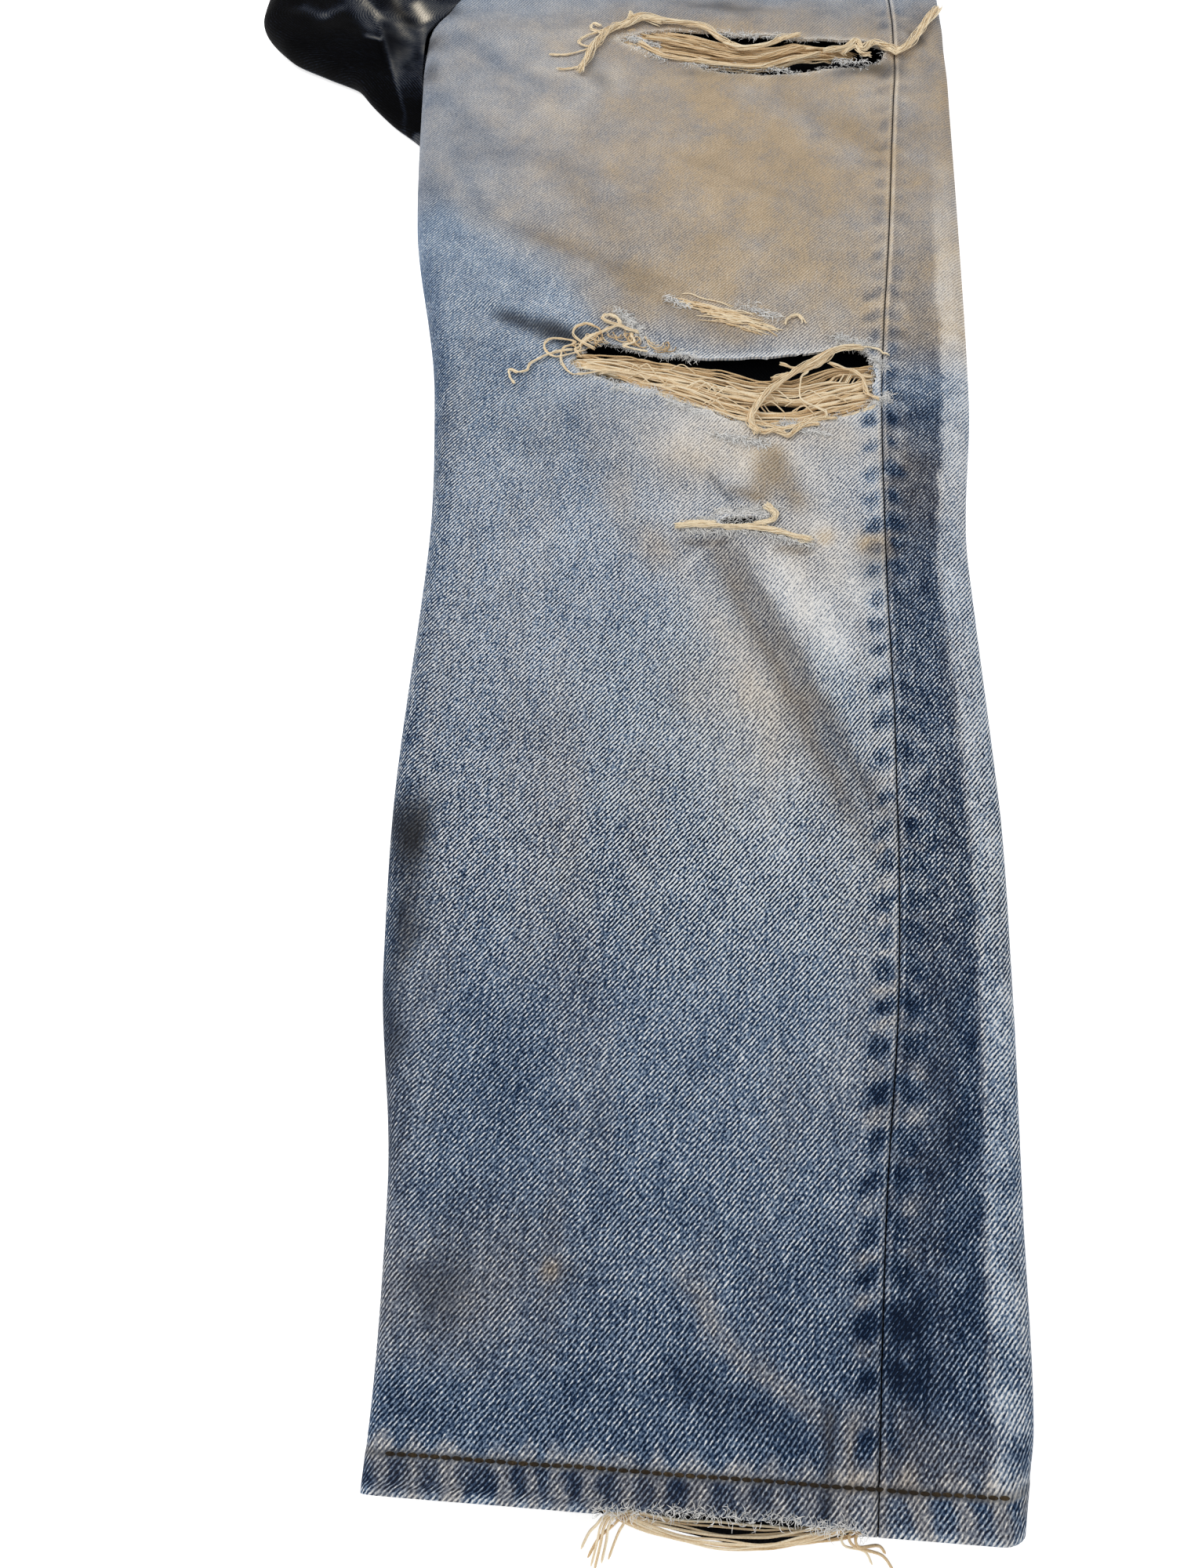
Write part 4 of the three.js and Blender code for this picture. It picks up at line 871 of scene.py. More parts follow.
# plain panel from stretches of section
def makeStrip(name, rows, lines, counts, thickness, wearAndShade, soft=0.0):
    grid, uv = [], []
    for up in rows:
        parts, start = [], 0.0
        for line, count in zip(lines(up), counts):
            points, at, total = resample(line, count=count)
            parts.append((points[1:] if start else points, at[1:] + start if start else at))
            start += total
        points = np.concatenate([p for p, _ in parts])
        at = np.concatenate([a for _, a in parts])
        grid.append(np.c_[points[:, 0], np.full(len(points), up), points[:, 1]])
        uv.append(np.c_[at, np.full(len(points), up)])
    grid, uv = np.array(grid), np.array(uv)
    if soft:  # rounded long edges and a stitched hollow along each
        low = np.minimum(grid[..., 1] - rows[0], rows[-1] - grid[..., 1])
        relief = -soft * np.exp(-(low / 1.1) ** 2) - 0.25 * np.exp(-((low - 3.2) / 0.8) ** 2)
        grid = grid + gridNormals(grid) * relief[..., None]
    x, up = grid[..., 0], grid[..., 1]
    edgeWear = 0.18 * np.exp(-(np.minimum(up - rows[0], rows[-1] - up) / 1.6) ** 2) if soft else 0
    marks = {"wearAndShade": wearAndShade + 0.06 * noise(uv[..., 0], up, 24, 71) + 0.04 * noise(uv[..., 0], up, 9, 72)
             + edgeWear,
             "dirtAndShade": 0.12 + 0.1 * noise(uv[..., 0], up, 40, 73), "stainAndShade": np.zeros_like(x),
             "weave": np.full(x.shape, 0.6)}
    return clothShell(name, grid, uv, marks, thickness)


def makePatch(name, left, right, low, high, depth, wearAndShade):  # cloth just under the upper side
    rows = np.linspace(low, high, 40)

    def line(up):
        xs = np.linspace(left(up), right(up), 60)
        return [np.c_[xs, np.full(60, cloth["upperBase"] + float(curveOf(leftHalf, "loft", up)) - depth)]]
    return makeStrip(name, rows, line, (40,), 1.2, wearAndShade)


frontLeft = makeFrontLeft()
print("front left cloth", len(frontLeft.data.polygons), "faces")
backLeft = makeBackLeft()
frontRight = makeFrontRight()
coarseRows = stations((0, 12, 6), (12, 604, 14), (604, 760, 5), (760, 912.7, 9))
backRight = makeStrip("backRightCloth", coarseRows, backRightLine, (24, 10), 1.25, 0.45)
hiddenCloth = {"facingWidth": 98, "shieldWidth": 34}


def seamAt(up):
    return float(curveOf(leftHalf, "outseam", up))


def facingEdge(up):
    return seamAt(up) - hiddenCloth["facingWidth"]


def centreFront(up):
    return float(curveOf(leftHalf, "inner", up) + curveOf(leftHalf, "loft", up) / 2)


def shieldLeft(up):
    return centreFront(up) - hiddenCloth["shieldWidth"] / 3


def shieldRight(up):
    return centreFront(up) + hiddenCloth["shieldWidth"] * 2 / 3


def frontLeftLines(up):
    return [frontLeftLine(up)]


def waistLeftLines(up):
    return (frontLeftLine(up), *backLeftLine(up))


pocketFacing = makePatch("pocketFacingCloth", facingEdge, seamAt, 839, 912.7, 1.7, 0.34)
flyShield = makePatch("flyShieldCloth", shieldLeft, shieldRight, 770, 912.7, 2.1, 0.3)
bandRows = stations((cloth["waistLow"], cloth["waistHigh"], 1.5))
waistLeft = makeStrip("waistbandLeftCloth", bandRows, waistLeftLines, (70, 14, 12, 24), 2.3, 0.52, 0.8)
waistRight = makeStrip("waistbandRightCloth", bandRows, frontRightLine, (7, 24, 16, 26), 1.9, 0.5, 0.7)
waistBackRight = makeStrip("waistbandBackRightCloth", bandRows, backRightLine, (30, 10), 1.3, 0.48, 0.5)
print("panels and waistband made")

loopLook = {"width": 10, "stand": 1.6, "thickness": 1.3, "places": {"Front": -6, "Side": 78}}


def makeBeltLoop(name, centre):
    rows = np.linspace(cloth["waistLow"] - 6, cloth["waistHigh"] - 2, 46)
    across = np.linspace(-0.5, 0.5, 13)
    t = np.linspace(0, 1, len(rows))
    stand = 0.3 + loopLook["stand"] * np.sin(np.pi * t) ** 0.6 + loopLook["thickness"]
    x = centre + across[None, :] * loopLook["width"] + 0 * rows[:, None]
    up = rows[:, None] + 0 * x
    z = cloth["upperBase"] + curveOf(leftHalf, "loft", up) + stand[:, None]
    z = (z - 0.45 * np.exp(-((0.5 - np.abs(across)) / 0.07) ** 2)[None, :]
         - 0.3 * np.exp(-((np.abs(across) - 0.26) / 0.06) ** 2)[None, :])
    grid = np.stack([x, up, z], axis=-1)
    marks = {"wearAndShade": 0.5 + 0.2 * np.exp(-((0.5 - np.abs(across)) / 0.08) ** 2)[None, :]
             + 0.06 * noise(x, up, 7, 81),
             "dirtAndShade": 0.1 + 0 * x, "stainAndShade": 0 * x, "weave": 0.6 + 0 * x}
    return clothShell(name, grid, np.stack([x, up], axis=-1), marks, loopLook["thickness"])


beltLoops = {key: makeBeltLoop("beltLoop" + key, place) for key, place in loopLook["places"].items()}


# Threads

def curvePoints(points, count):  # Catmull-Rom through a few points
    p = np.array(points, float)
    ends = np.r_[[2 * p[0] - p[1]], p, [2 * p[-1] - p[-2]]]
    t = np.linspace(0, len(p) - 1 - 1e-6, count)
    i = t.astype(int)
    f = (t - i)[:, None]
    a, b, c, d = ends[i], ends[i + 1], ends[i + 2], ends[i + 3]
    return 0.5 * (2 * b + (c - a) * f + (2 * a - 5 * b + 4 * c - d) * f ** 2
                  + (3 * b - a - 3 * c + d) * f ** 3)


def threadMesh(name, strands, sides, material, body="root"):  # strands: (points, radius, shade)
    points, faces, shades, places = [], [], [], []
    base = 0
    ring = np.arange(sides) * 2 * np.pi / sides
    for line, radius, shade in strands:
        n = len(line)
        t = np.gradient(line, axis=0)
        t /= np.maximum(np.linalg.norm(t, axis=1, keepdims=True), 1e-9)
        ref = np.where(np.abs(t[:, 2:3]) > 0.9, [[1.0, 0, 0]], [[0, 0, 1.0]])
        a = np.cross(t, ref)
        a /= np.maximum(np.linalg.norm(a, axis=1, keepdims=True), 1e-9)
        b = np.cross(a, t)
        taper = np.minimum(1, np.minimum(np.arange(n) + 0.6, n - 0.4 - np.arange(n)) / 1.2) * radius
        around = np.cos(ring)[None, :, None] * a[:, None, :] + np.sin(ring)[None, :, None] * b[:, None, :]
        body3 = line[:, None, :] + taper[:, None, None] * around
        points.append(body3.reshape(-1, 3))
        ids = base + np.arange(n * sides).reshape(n, sides)
        nxt = np.roll(ids, -1, axis=1)
        faces.extend(np.stack([ids[:-1], ids[1:], nxt[1:], nxt[:-1]], axis=-1).reshape(-1, 4).tolist())
        faces.append(ids[0].tolist())
        faces.append(ids[-1, ::-1].tolist())
        shades.append(np.full(n * sides, shade))
        steps = np.r_[0, np.cumsum(np.linalg.norm(np.diff(line, axis=0), axis=1))]
        places.append(np.c_[np.repeat(steps, sides), np.tile(ring, n), np.full(n * sides, shade * 37)])
        base += n * sides
    mesh = bpy.data.meshes.new(name)
    mesh.from_pydata(toFrame(np.concatenate(points)).tolist(), [], faces)
    shadeValues = np.concatenate(shades).astype(np.float32)
    mesh.attributes.new("shade", "FLOAT", "POINT").data.foreach_set("value", shadeValues)
    placeValues = np.concatenate(places).astype(np.float32).reshape(-1)
    mesh.attributes.new("cloth", "FLOAT_VECTOR", "POINT").data.foreach_set("vector", placeValues)
    mesh.materials.append(material)
    mesh.polygons.foreach_set("use_smooth", np.ones(len(mesh.polygons), bool))
    mesh.update()
    piece = bpy.data.objects.new(name, mesh)
    bpy.context.scene.collection.objects.link(piece)
    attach(piece, body)
    return piece


def lying(rows, count, lift=0.9):  # a path over the cloth: x, up and extra lift
    p = np.array([r if len(r) == 3 else (*r, 0) for r in rows], float)
    line = curvePoints(p, count)
    return np.c_[line[:, 0], line[:, 1], topHeight(line[:, 0], line[:, 1]) + lift + line[:, 2]]


bundleLook = {"fullness": 1.6, "radius": 0.23, "wild": 0.55}


def bundle(rows, count, width, threads, seed, lift=0.9, spin=1.5, tone=(0.5, 0.95), loose=0.0, thin=1.0):
    rng = np.random.default_rng(seed)
    core = lying(rows, count, lift)
    t = np.linspace(0, 1, count)
    tangent = np.gradient(core, axis=0)
    tangent /= np.linalg.norm(tangent, axis=1, keepdims=True)
    side = np.cross(tangent, [0, 0, 1.0])
    side /= np.maximum(np.linalg.norm(side, axis=1, keepdims=True), 1e-9)
    made = []
    total = round(threads * bundleLook["fullness"])
    for k in range(total):
        a = 2 * np.pi * k / total + rng.uniform(-0.5, 0.5) + spin * 2 * np.pi * t
        r = width * rng.uniform(0.3, 1.0) * (0.75 + 0.35 * np.sin(3 * t + rng.uniform(0, 6)))
        line = (core + side * (r * np.cos(a))[:, None] + np.array([0, 0, 1.0])
                * (0.6 * r * np.sin(a) + 0.5 * width)[:, None])
        wander = (loose * t[:, None] ** 2
                  * np.c_[np.sin(5 * t + k), np.cos(4 * t + 2 * k), 0.3 * np.sin(7 * t)])
        row = t * 0 + 1.7 * k + seed
        wild = np.c_[noise(t * count / 3.2, row, 1, 54), noise(t * count / 2.7, row, 1, 55),
                     0.5 * noise(t * count / 3, row, 1, 58)]
        line = line + wander + wild * bundleLook["wild"] * min(1, 0.4 + 0.5 * width)
        made.append((line, bundleLook["radius"] * thin * rng.uniform(0.7, 1.35), rng.uniform(*tone)))
    return made


kneeLook = {"threads": 84, "radius": 0.38, "steps": 60, "seed": 3, "loops": 22, "curls": 34}
kneeBand = {
    "x":    [-58, -45, -25, -5, 16, 34, 50, 57, 69, 84, 92],
    "high": [450, 450, 449, 446, 443, 438.5, 437, 439.5, 445, 448, 448],
    "low":  [440, 438.5, 432, 425, 416, 409.5, 410, 412, 415, 421, 424],
}
kneeBundles = [  # path, half width, strands, lift, tones
    ([(82, 456), (71, 455), (57, 446), (46, 436), (36, 426), (31, 417), (30, 410), (33, 404)], 1.9, 11, 1.4,
     (0.6, 1)),
    ([(70, 456), (62, 446), (50, 441), (40, 437)], 1.2, 7, 1.0, (0.5, 0.9)),
    ([(29, 412), (35, 406), (41, 407), (46, 404), (53, 410), (60, 411)], 1.5, 8, 0.8, (0.5, 1)),
    ([(24, 414), (34, 411), (43, 408), (52, 411), (58, 414), (68, 415)], 1.1, 6, 0.6, (0.5, 1)),
    ([(57, 442), (53, 437), (53, 425), (63, 418), (62, 414)], 0.45, 2, 1.6, (0.8, 1)),
    ([(66, 447), (79, 441), (82, 431), (87, 425)], 0.9, 5, 1.3, (0.6, 1)),
    ([(44, 446), (52, 443), (60, 447), (68, 453), (78, 458)], 0.8, 5, 1.3, (0.6, 1)),
    ([(78, 456), (86, 458), (94, 453)], 0.4, 3, 0.9, (0.8, 1)),
    ([(-50, 452), (-58, 450), (-66, 445), (-69, 442), (-70, 438), (-74, 437), (-78, 438), (-77, 433),
      (-75, 430)], 0.7, 4, 0.9, (0.75, 1)),
    ([(-44, 452), (-56, 447), (-61, 449), (-63, 454), (-60, 459), (-54, 459), (-49, 457), (-54, 453),
      (-55, 448), (-54, 442), (-50, 437), (-44, 437),
      (-34, 439), (-20, 437)], 0.6, 4, 1.1, (0.6, 1)),
    ([(-40, 452), (-50, 461), (-45, 466), (-39, 464), (-38, 461), (-44, 459), (-47, 454), (-49, 452),
      (-46, 447)], 0.5, 3, 1.2, (0.4, 0.9)),
    ([(-46, 456), (-40, 460), (-33, 464), (-29, 467), (-32, 471), (-36, 471), (-36, 468), (-28, 465),
      (-20, 462)], 0.8, 5, 1.2, (0.7, 1)),
    ([(-24, 462), (-22, 457), (-27, 455), (-22, 453), (-16, 452)], 0.5, 3, 1.0, (0.7, 1)),
]


def makeKneeThreads():
    rng = np.random.default_rng(kneeLook["seed"])
    strands = []
    for k in range(kneeLook["threads"]):
        f = (k + rng.uniform(-0.4, 0.4)) / kneeLook["threads"]
        left = (-50 if f > 0.35 else -10 - 110 * f) + rng.uniform(-5, 3)
        xs = np.linspace(left, 88 + rng.uniform(-3, 3), kneeLook["steps"])
        t = np.linspace(0, 1, len(xs))
        low, high = (np.interp(xs, kneeBand["x"], kneeBand["low"]),
                     np.interp(xs, kneeBand["x"], kneeBand["high"]))
        up = (low + (high - low) * f + 1.5 * noise(xs, xs * 0 + (k // 4) * 13.7, 17, 91)
              + 0.9 * noise(xs, xs * 0 + k * 15.1, 6, 92))
        for cx, cy, reach in ((42, 422, 12), (74, 440, 7)):  # strands part round the dark gaps
            up = up + 2.4 * np.sign(up - cy) * np.exp(-((xs - cx) / reach) ** 2 - ((up - cy) / 3.5) ** 2)
        layer = rng.uniform(-2.0, 0.5)
        ends = -1.9 * (smooth(0.05, 0.0, t) + smooth(0.96, 1.0, t))
        height = (topHeight(xs, up) - 0.3 + layer - 0.5 * np.sin(np.pi * t)
                  + 0.5 * noise(xs, xs * 0 + k * 2.3, 9, 93) + ends)
        # deeper strands get a darker tone: painted shade
        tone = np.clip(rng.normal(0.7, 0.2) + 0.12 * layer, 0.08, 1)
        strands.append((np.c_[xs, up, height], kneeLook["radius"] * rng.uniform(0.65, 1.3), tone))
    for k, (path, width, count, lift, tones) in enumerate(kneeBundles):
        strands += bundle(path, 8 * len(path), width, count, 31 + k, lift, tone=tones)
    for k in range(kneeLook["loops"]):  # small loops that stand up out of the band
        cx = rng.uniform(-35, 70)
        cy = np.interp(cx, kneeBand["x"], kneeBand["low"]) + rng.uniform(3, 20)
        rx, turn = rng.uniform(2.5, 6), rng.uniform(-0.4, 0.2)
        rows = [(cx + rx * q, cy + turn * rx * q + 1.6 * math.cos(2.4 * q), 1.1 * (1 - q * q))
                for q in (-1.3, -0.7, 0, 0.7, 1.3)]
        strands.append((lying(rows, 16, 0.2), rng.uniform(0.22, 0.36), rng.uniform(0.7, 1)))
    for k in range(kneeLook["curls"]):  # short curly ends along the left and top of the tear
        cx, a, r = rng.uniform(-58, -8), rng.uniform(0, 6.28), rng.uniform(1.5, 4)
        cy = np.interp(cx, [-58, -36, -14, 4], [451, 460, 455, 450]) + rng.uniform(-2, 3)
        rows = [(cx + r * (1 - 0.5 * q) * math.cos(a + 4.2 * q) + 4 * q,
                 cy + 0.8 * r * math.sin(a + 4.2 * q), 0.5 * math.sin(3 * q))
                for q in np.linspace(0, 1.3, 6)]
        strands.append((lying(rows, 16, 1.0), rng.uniform(0.16, 0.28), rng.uniform(0.2, 0.85)))
    return threadMesh("kneeRipThreads", strands, 5, weftCotton)


thighLook = {"threads": 74, "radius": 0.38, "seed": 5}
thighBand = {
    "x":    [-36, -26, -12, 4, 15, 27, 38, 53, 61, 76, 90],
    "high": [694, 700, 699, 696, 691, 686, 684, 687, 690, 686, 683],
    "low":  [686, 683, 671, 668, 666, 664, 663, 667, 673, 676, 677],
}
thighBundles = [
    ([(-30, 703), (-20, 704), (-8, 702), (4, 700), (13, 695), (21, 685), (30, 680), (43, 681), (54, 688),
      (64, 692)], 2.6, 13, 1.6, (0.7, 1)),
    ([(-20, 688), (0, 683), (14, 677), (26, 672), (40, 672), (54, 678), (66, 682)], 1.9, 9, 0.9,
     (0.4, 0.9)),
    ([(-24, 684), (-8, 672), (10, 668), (26, 665), (42, 665), (56, 671), (74, 677)], 1.6, 8, 0.8,
     (0.5, 0.95)),
    ([(-12, 700), (-22, 704), (-31, 699), (-39, 694), (-44, 685), (-49, 676), (-52, 664), (-55, 653)], 2.4,
     13, 1.2, (0.75, 1)),
    ([(-36, 696), (-48, 691), (-55, 685), (-56, 681), (-51, 678), (-45, 681)], 0.7, 4, 1.1, (0.75, 1)),
    ([(-34, 699), (-31, 703), (-29, 711), (-28, 707)], 0.6, 3, 0.9, (0.8, 1)),
    ([(-46, 680), (-54, 675), (-63, 671), (-72, 671)], 0.45, 3, 0.7, (0.6, 1)),
    ([(-50, 668), (-55, 661), (-61, 658), (-67, 658)], 0.4, 3, 0.7, (0.6, 1)),
    ([(-44, 690), (-50, 695), (-49, 700), (-45, 698)], 0.7, 4, 1.1, (0.75, 1)),
    ([(76, 678), (88, 681), (94, 687), (97, 680), (103, 686), (110, 681), (117, 679), (124, 688),
      (131, 700), (137, 711), (142, 720)], 2.3, 13, 1.6, (0.7, 1)),
    ([(86, 676), (93, 683), (96, 677), (101, 675)], 1.3, 6, 1.6, (0.7, 1)),
    ([(108, 684), (114, 676), (122, 682), (128, 694), (132, 706), (140, 718)], 1.3, 7, 2.2, (0.7, 1)),
    ([(66, 682), (76, 683), (84, 680), (88, 676)], 0.5, 3, 0.8, (0.6, 1)),
]


def makeThighThreads():
    rng = np.random.default_rng(thighLook["seed"])
    strands = []
    for k in range(thighLook["threads"]):  # weft left across the tear
        f = (k + rng.uniform(-0.3, 0.3)) / thighLook["threads"]
        xs = np.linspace(-32 + rng.uniform(-5, 6), 88 + rng.uniform(-22, 8), 48)
        t = np.linspace(0, 1, len(xs))
        low, high = (np.interp(xs, thighBand["x"], thighBand["low"]),
                     np.interp(xs, thighBand["x"], thighBand["high"]))
        up = (low + (high - low) * f + 1.1 * noise(xs, xs * 0 + (k // 3) * 33.1, 19, 94)
              + 0.7 * noise(xs, xs * 0 + k * 14.1, 6, 96))
        layer = rng.uniform(-1.8, 0.3)
        ends = -1.8 * (smooth(0.05, 0, t) + smooth(0.95, 1, t))
        height = topHeight(xs, up) - 0.4 + layer + 0.4 * noise(xs, xs * 0 + k * 2.9, 10, 95) + ends
        # deeper strands, and those across the middle of the band, get darker tones: painted shade
        tone = np.clip(rng.normal(0.64, 0.2) + 0.1 * layer - 0.3 * math.exp(-((f - 0.62) / 0.16) ** 2),
                       0.06, 1)
        strands.append((np.c_[xs, up, height], thighLook["radius"] * rng.uniform(0.65, 1.3), tone))
    for k, (path, width, count, lift, tones) in enumerate(thighBundles):
        strands += bundle(path, 7 * len(path), width, count, 51 + k, lift, tone=tones,
                          spin=0.22 * len(path), loose=0.6)
    return threadMesh("thighRipThreads", strands, 5, weftCotton)


shinBundles = [
    ([(-3, 352), (10, 353.6), (19, 353.2), (30, 353)], 1.5, 10, 0.8, (0.85, 1)),
    ([(30, 354), (37, 356), (39, 360), (35, 364)], 1.6, 9, 1.0, (0.85, 1)),
    ([(27, 353), (38, 351), (46, 348), (53, 346)], 1.5, 9, 0.8, (0.8, 1)),
    ([(14, 355.5), (5, 355), (-1, 353)], 1.0, 6, 0.7, (0.8, 1)),
    ([(47, 469), (49, 474), (54, 476), (56, 471)], 0.5, 3, 0.9, (0.8, 1)),
]
patchLook = {"threads": 70, "from": (2, 485), "to": (42, 466), "half": 4.2}


def makeShinThreads():
    strands = []
    for k, (path, width, count, lift, tones) in enumerate(shinBundles):
        strands += bundle(path, 7 * len(path), width, 2 * count, 71 + k, lift, tone=tones, spin=0.4,
                          loose=1.0, thin=0.7)
    rng = np.random.default_rng(8)
    (x0, up0), (x1, up1) = patchLook["from"], patchLook["to"]
    for k in range(patchLook["threads"]):  # bare weft of the thin patch above the knee
        t = rng.beta(1.6, 1.6)
        cx = x0 + (x1 - x0) * t
        cy = up0 + (up1 - up0) * t + rng.normal(0, patchLook["half"] * (0.4 + math.sin(math.pi * t)) * 0.6)
        half, tilt = rng.uniform(4, 11), rng.uniform(-0.5, -0.1)
        rows = [(cx + half * q, cy + half * q * tilt + 0.6 * math.sin(5 * q + k), 0.5 * (1 - q * q))
                for q in (-1, -0.4, 0.3, 1)]
        strands.append((lying(rows, 12, 0.1), rng.uniform(0.2, 0.36), rng.uniform(0.45, 1)))
    return threadMesh("shinAndPatchThreads", strands, 5, weftCotton)


def makeHemThreads():
    rng = np.random.default_rng(6)
    base = cloth["upperBase"] + 12
    strands = []
    for k in range(13):
        left, right = -22 + rng.uniform(-3, 3), 48 + rng.uniform(-6, 8)
        sag, drop = rng.uniform(0.5, 6.5), rng.uniform(1, 5)
        t = np.linspace(0, 1, 26)
        x = left + (right - left) * t
        up = 2.6 - (sag + 2.6) * np.sin(np.pi * t) ** 0.7 + 0.7 * noise(x, x * 0 + k * 4.3, 12, 96)
        z = base - 2.2 - drop * np.sin(np.pi * t) + 0.4 * noise(x, x * 0 + k * 3.3, 11, 97)
        strands.append((np.c_[x, up, z], rng.uniform(0.28, 0.42), rng.uniform(0.5, 1)))
    tails = [(-20, -25, -14), (-18, -22, -13), (-16, -26, -12), (-21, -28, -10), (-19, -24, -15),
             (-14, -20, -12), (46, 56, -8), (48, 62, -9), (50, 60, -5)]
    for k, (x0, x1, up1) in enumerate(tails):
        rows = [(x0 + 6, 2, base - 2), (x0, 0, base - 1.6), (x0 + 0.2 * (x1 - x0) - 1.5, -3, base - 3),
                (x0 + 0.7 * (x1 - x0), 0.55 * up1, base - 8), (x1, up1, base - 13)]
        strands.append((curvePoints(rows, 22), rng.uniform(0.34, 0.46), rng.uniform(0.45, 0.95)))
    return threadMesh("hemThreadsLoose", strands, 5, weftCotton)


fuzzAmounts = {"knee": 1500, "thigh": 800, "shin": 160, "hem": 420}
tufts = [  # frayed clumps of the torn edges: x0, up0, x1, up1, spread, count, lean in degrees
    (-31, 476, -24, 468, 2.2, 60, 40), (-27, 471, -16, 457, 2.4, 90, 300), (-16, 457, 6, 450, 1.6, 90, 340),
    (-32, 430, -12, 428, 1.8, 90, 350), (-8, 424, 10, 416, 1.5, 60, 330), (15, 405, 37, 400, 2.4, 130, 250),
    (43, 411, 63, 406, 2.2, 110, 20), (70, 462, 86, 458, 2.8, 110, 60), (84, 452, 92, 446, 2.0, 50, 10),
    (84, 424, 92, 430, 1.8, 50, 20), (0, 351.5, 34, 352, 1.5, 210, 0), (34, 351, 53, 345, 2.2, 170, 335),
    (14, 361, 34, 362, 1.8, 170, 15), (34, 358, 40, 364, 1.6, 90, 100), (4, 355, 14, 357, 1.4, 60, 10),
    (-8, 489, 2, 482, 1.6, 60, 300), (26, 484, 44, 474, 2.2, 60, 330), (-26, 682, -8, 670, 1.6, 70, 320),
    (0, 668, 58, 664, 1.5, 110, 0), (16, 695, 64, 693, 1.4, 90, 0), (80, 672, 100, 672, 1.4, 40, 0),
    (-30, 690, -14, 684, 2.0, 120, 330),
]


def fibre(rng, x, up, angle, size, radius):
    q = np.linspace(0, 1, 4)
    bend = rng.normal(0, 1.2)
    px, py = x + size * q * np.cos(angle + bend * q), up + size * q * np.sin(angle + bend * q)
    pz = topHeight(px, py) + rng.uniform(-0.4, 0.5) + rng.uniform(0, 1.1) * np.sin(np.pi * q)
    return np.c_[px, py, pz], radius, rng.uniform(0.6, 1.2)


def makeFuzz():  # frayed fibres on the torn edges
    rng = np.random.default_rng(9)
    strands = []
    for name, count in fuzzAmounts.items():
        line = tornLines[name]
        middle = line.mean(axis=0)
        if name == "hem":
            line = line[line[:, 1] > -1]
        for _ in range(count):
            x, up = line[rng.integers(len(line))] + rng.normal(0, 0.7, 2)
            if name == "knee" and up > 446 and 6 < x < 70:  # the clean lip
                continue
            angle = (math.atan2((middle[1] - up) * 2, middle[0] - x) + rng.normal(0, 1.1)
                     + (math.pi if rng.random() < 0.4 else 0))
            strands.append(fibre(rng, x, up, angle, rng.uniform(0.8, 3.2), rng.uniform(0.06, 0.14)))
    for x0, up0, x1, up1, spread, count, lean in tufts:
        for _ in range(2 * count):
            t = rng.random()
            x = x0 + (x1 - x0) * t + rng.normal(0, spread * 0.5)
            up = up0 + (up1 - up0) * t + rng.normal(0, spread * 0.5)
            strands.append(fibre(rng, x, up, math.radians(lean) + rng.normal(0, 0.7), rng.uniform(1.2, 4.6),
                                 rng.uniform(0.09, 0.23)))
    return threadMesh("tornEdgeFuzz", strands, 3, fuzzCotton)


kneeThreads = makeKneeThreads()
thighThreads = makeThighThreads()
shinThreads = makeShinThreads()
hemThreads = makeHemThreads()
fuzz = makeFuzz()
print("threads made:",
      sum(len(o.data.polygons) for o in (kneeThreads, thighThreads, shinThreads, hemThreads, fuzz)),
      "faces")


# Sewing: a tree that lays one stitch at each step of a path

def stitchTree():
    tree = bpy.data.node_groups.new("stitchRow", "GeometryNodeTree")
    face = tree.interface
    face.new_socket("Geometry", in_out="INPUT", socket_type="NodeSocketGeometry")
    for name, value in (("Pitch", 0.0032), ("Length", 0.0027), ("Width", 0.0008)):
        face.new_socket(name, in_out="INPUT", socket_type="NodeSocketFloat").default_value = value
    face.new_socket("Thread", in_out="INPUT", socket_type="NodeSocketMaterial")
    face.new_socket("Geometry", in_out="OUTPUT", socket_type="NodeSocketGeometry")
    given, made = tree.nodes.new("NodeGroupInput"), tree.nodes.new("NodeGroupOutput")
    path = put(tree, "GeometryNodeMeshToCurve", {0: given.outputs["Geometry"]})
    steps = put(tree, "GeometryNodeResampleCurve",
                {"Curve": path.outputs[0], "Length": given.outputs["Pitch"]}, mode="LENGTH")
    dots = put(tree, "GeometryNodeCurveToPoints", {0: steps.outputs[0]}, mode="EVALUATED")
    stitch = put(tree, "GeometryNodeMeshIcoSphere", {"Radius": 0.5, "Subdivisions": 2})
    size = put(tree, "ShaderNodeCombineXYZ",
               {0: given.outputs["Width"], 1: given.outputs["Width"], 2: given.outputs["Length"]})
    shaped = put(tree, "GeometryNodeTransform", {"Geometry": stitch.outputs[0], "Scale": size.outputs[0]})
    laid = put(tree, "GeometryNodeInstanceOnPoints",
               {"Points": dots.outputs["Points"], "Instance": shaped.outputs[0],
                "Rotation": dots.outputs["Rotation"]})
    real = put(tree, "GeometryNodeRealizeInstances", {0: laid.outputs[0]})
    painted = put(tree, "GeometryNodeSetMaterial",
                  {0: real.outputs[0], "Material": given.outputs["Thread"]})
    tree.links.new(painted.outputs[0], made.inputs[0])
    return tree


sewing = stitchTree()


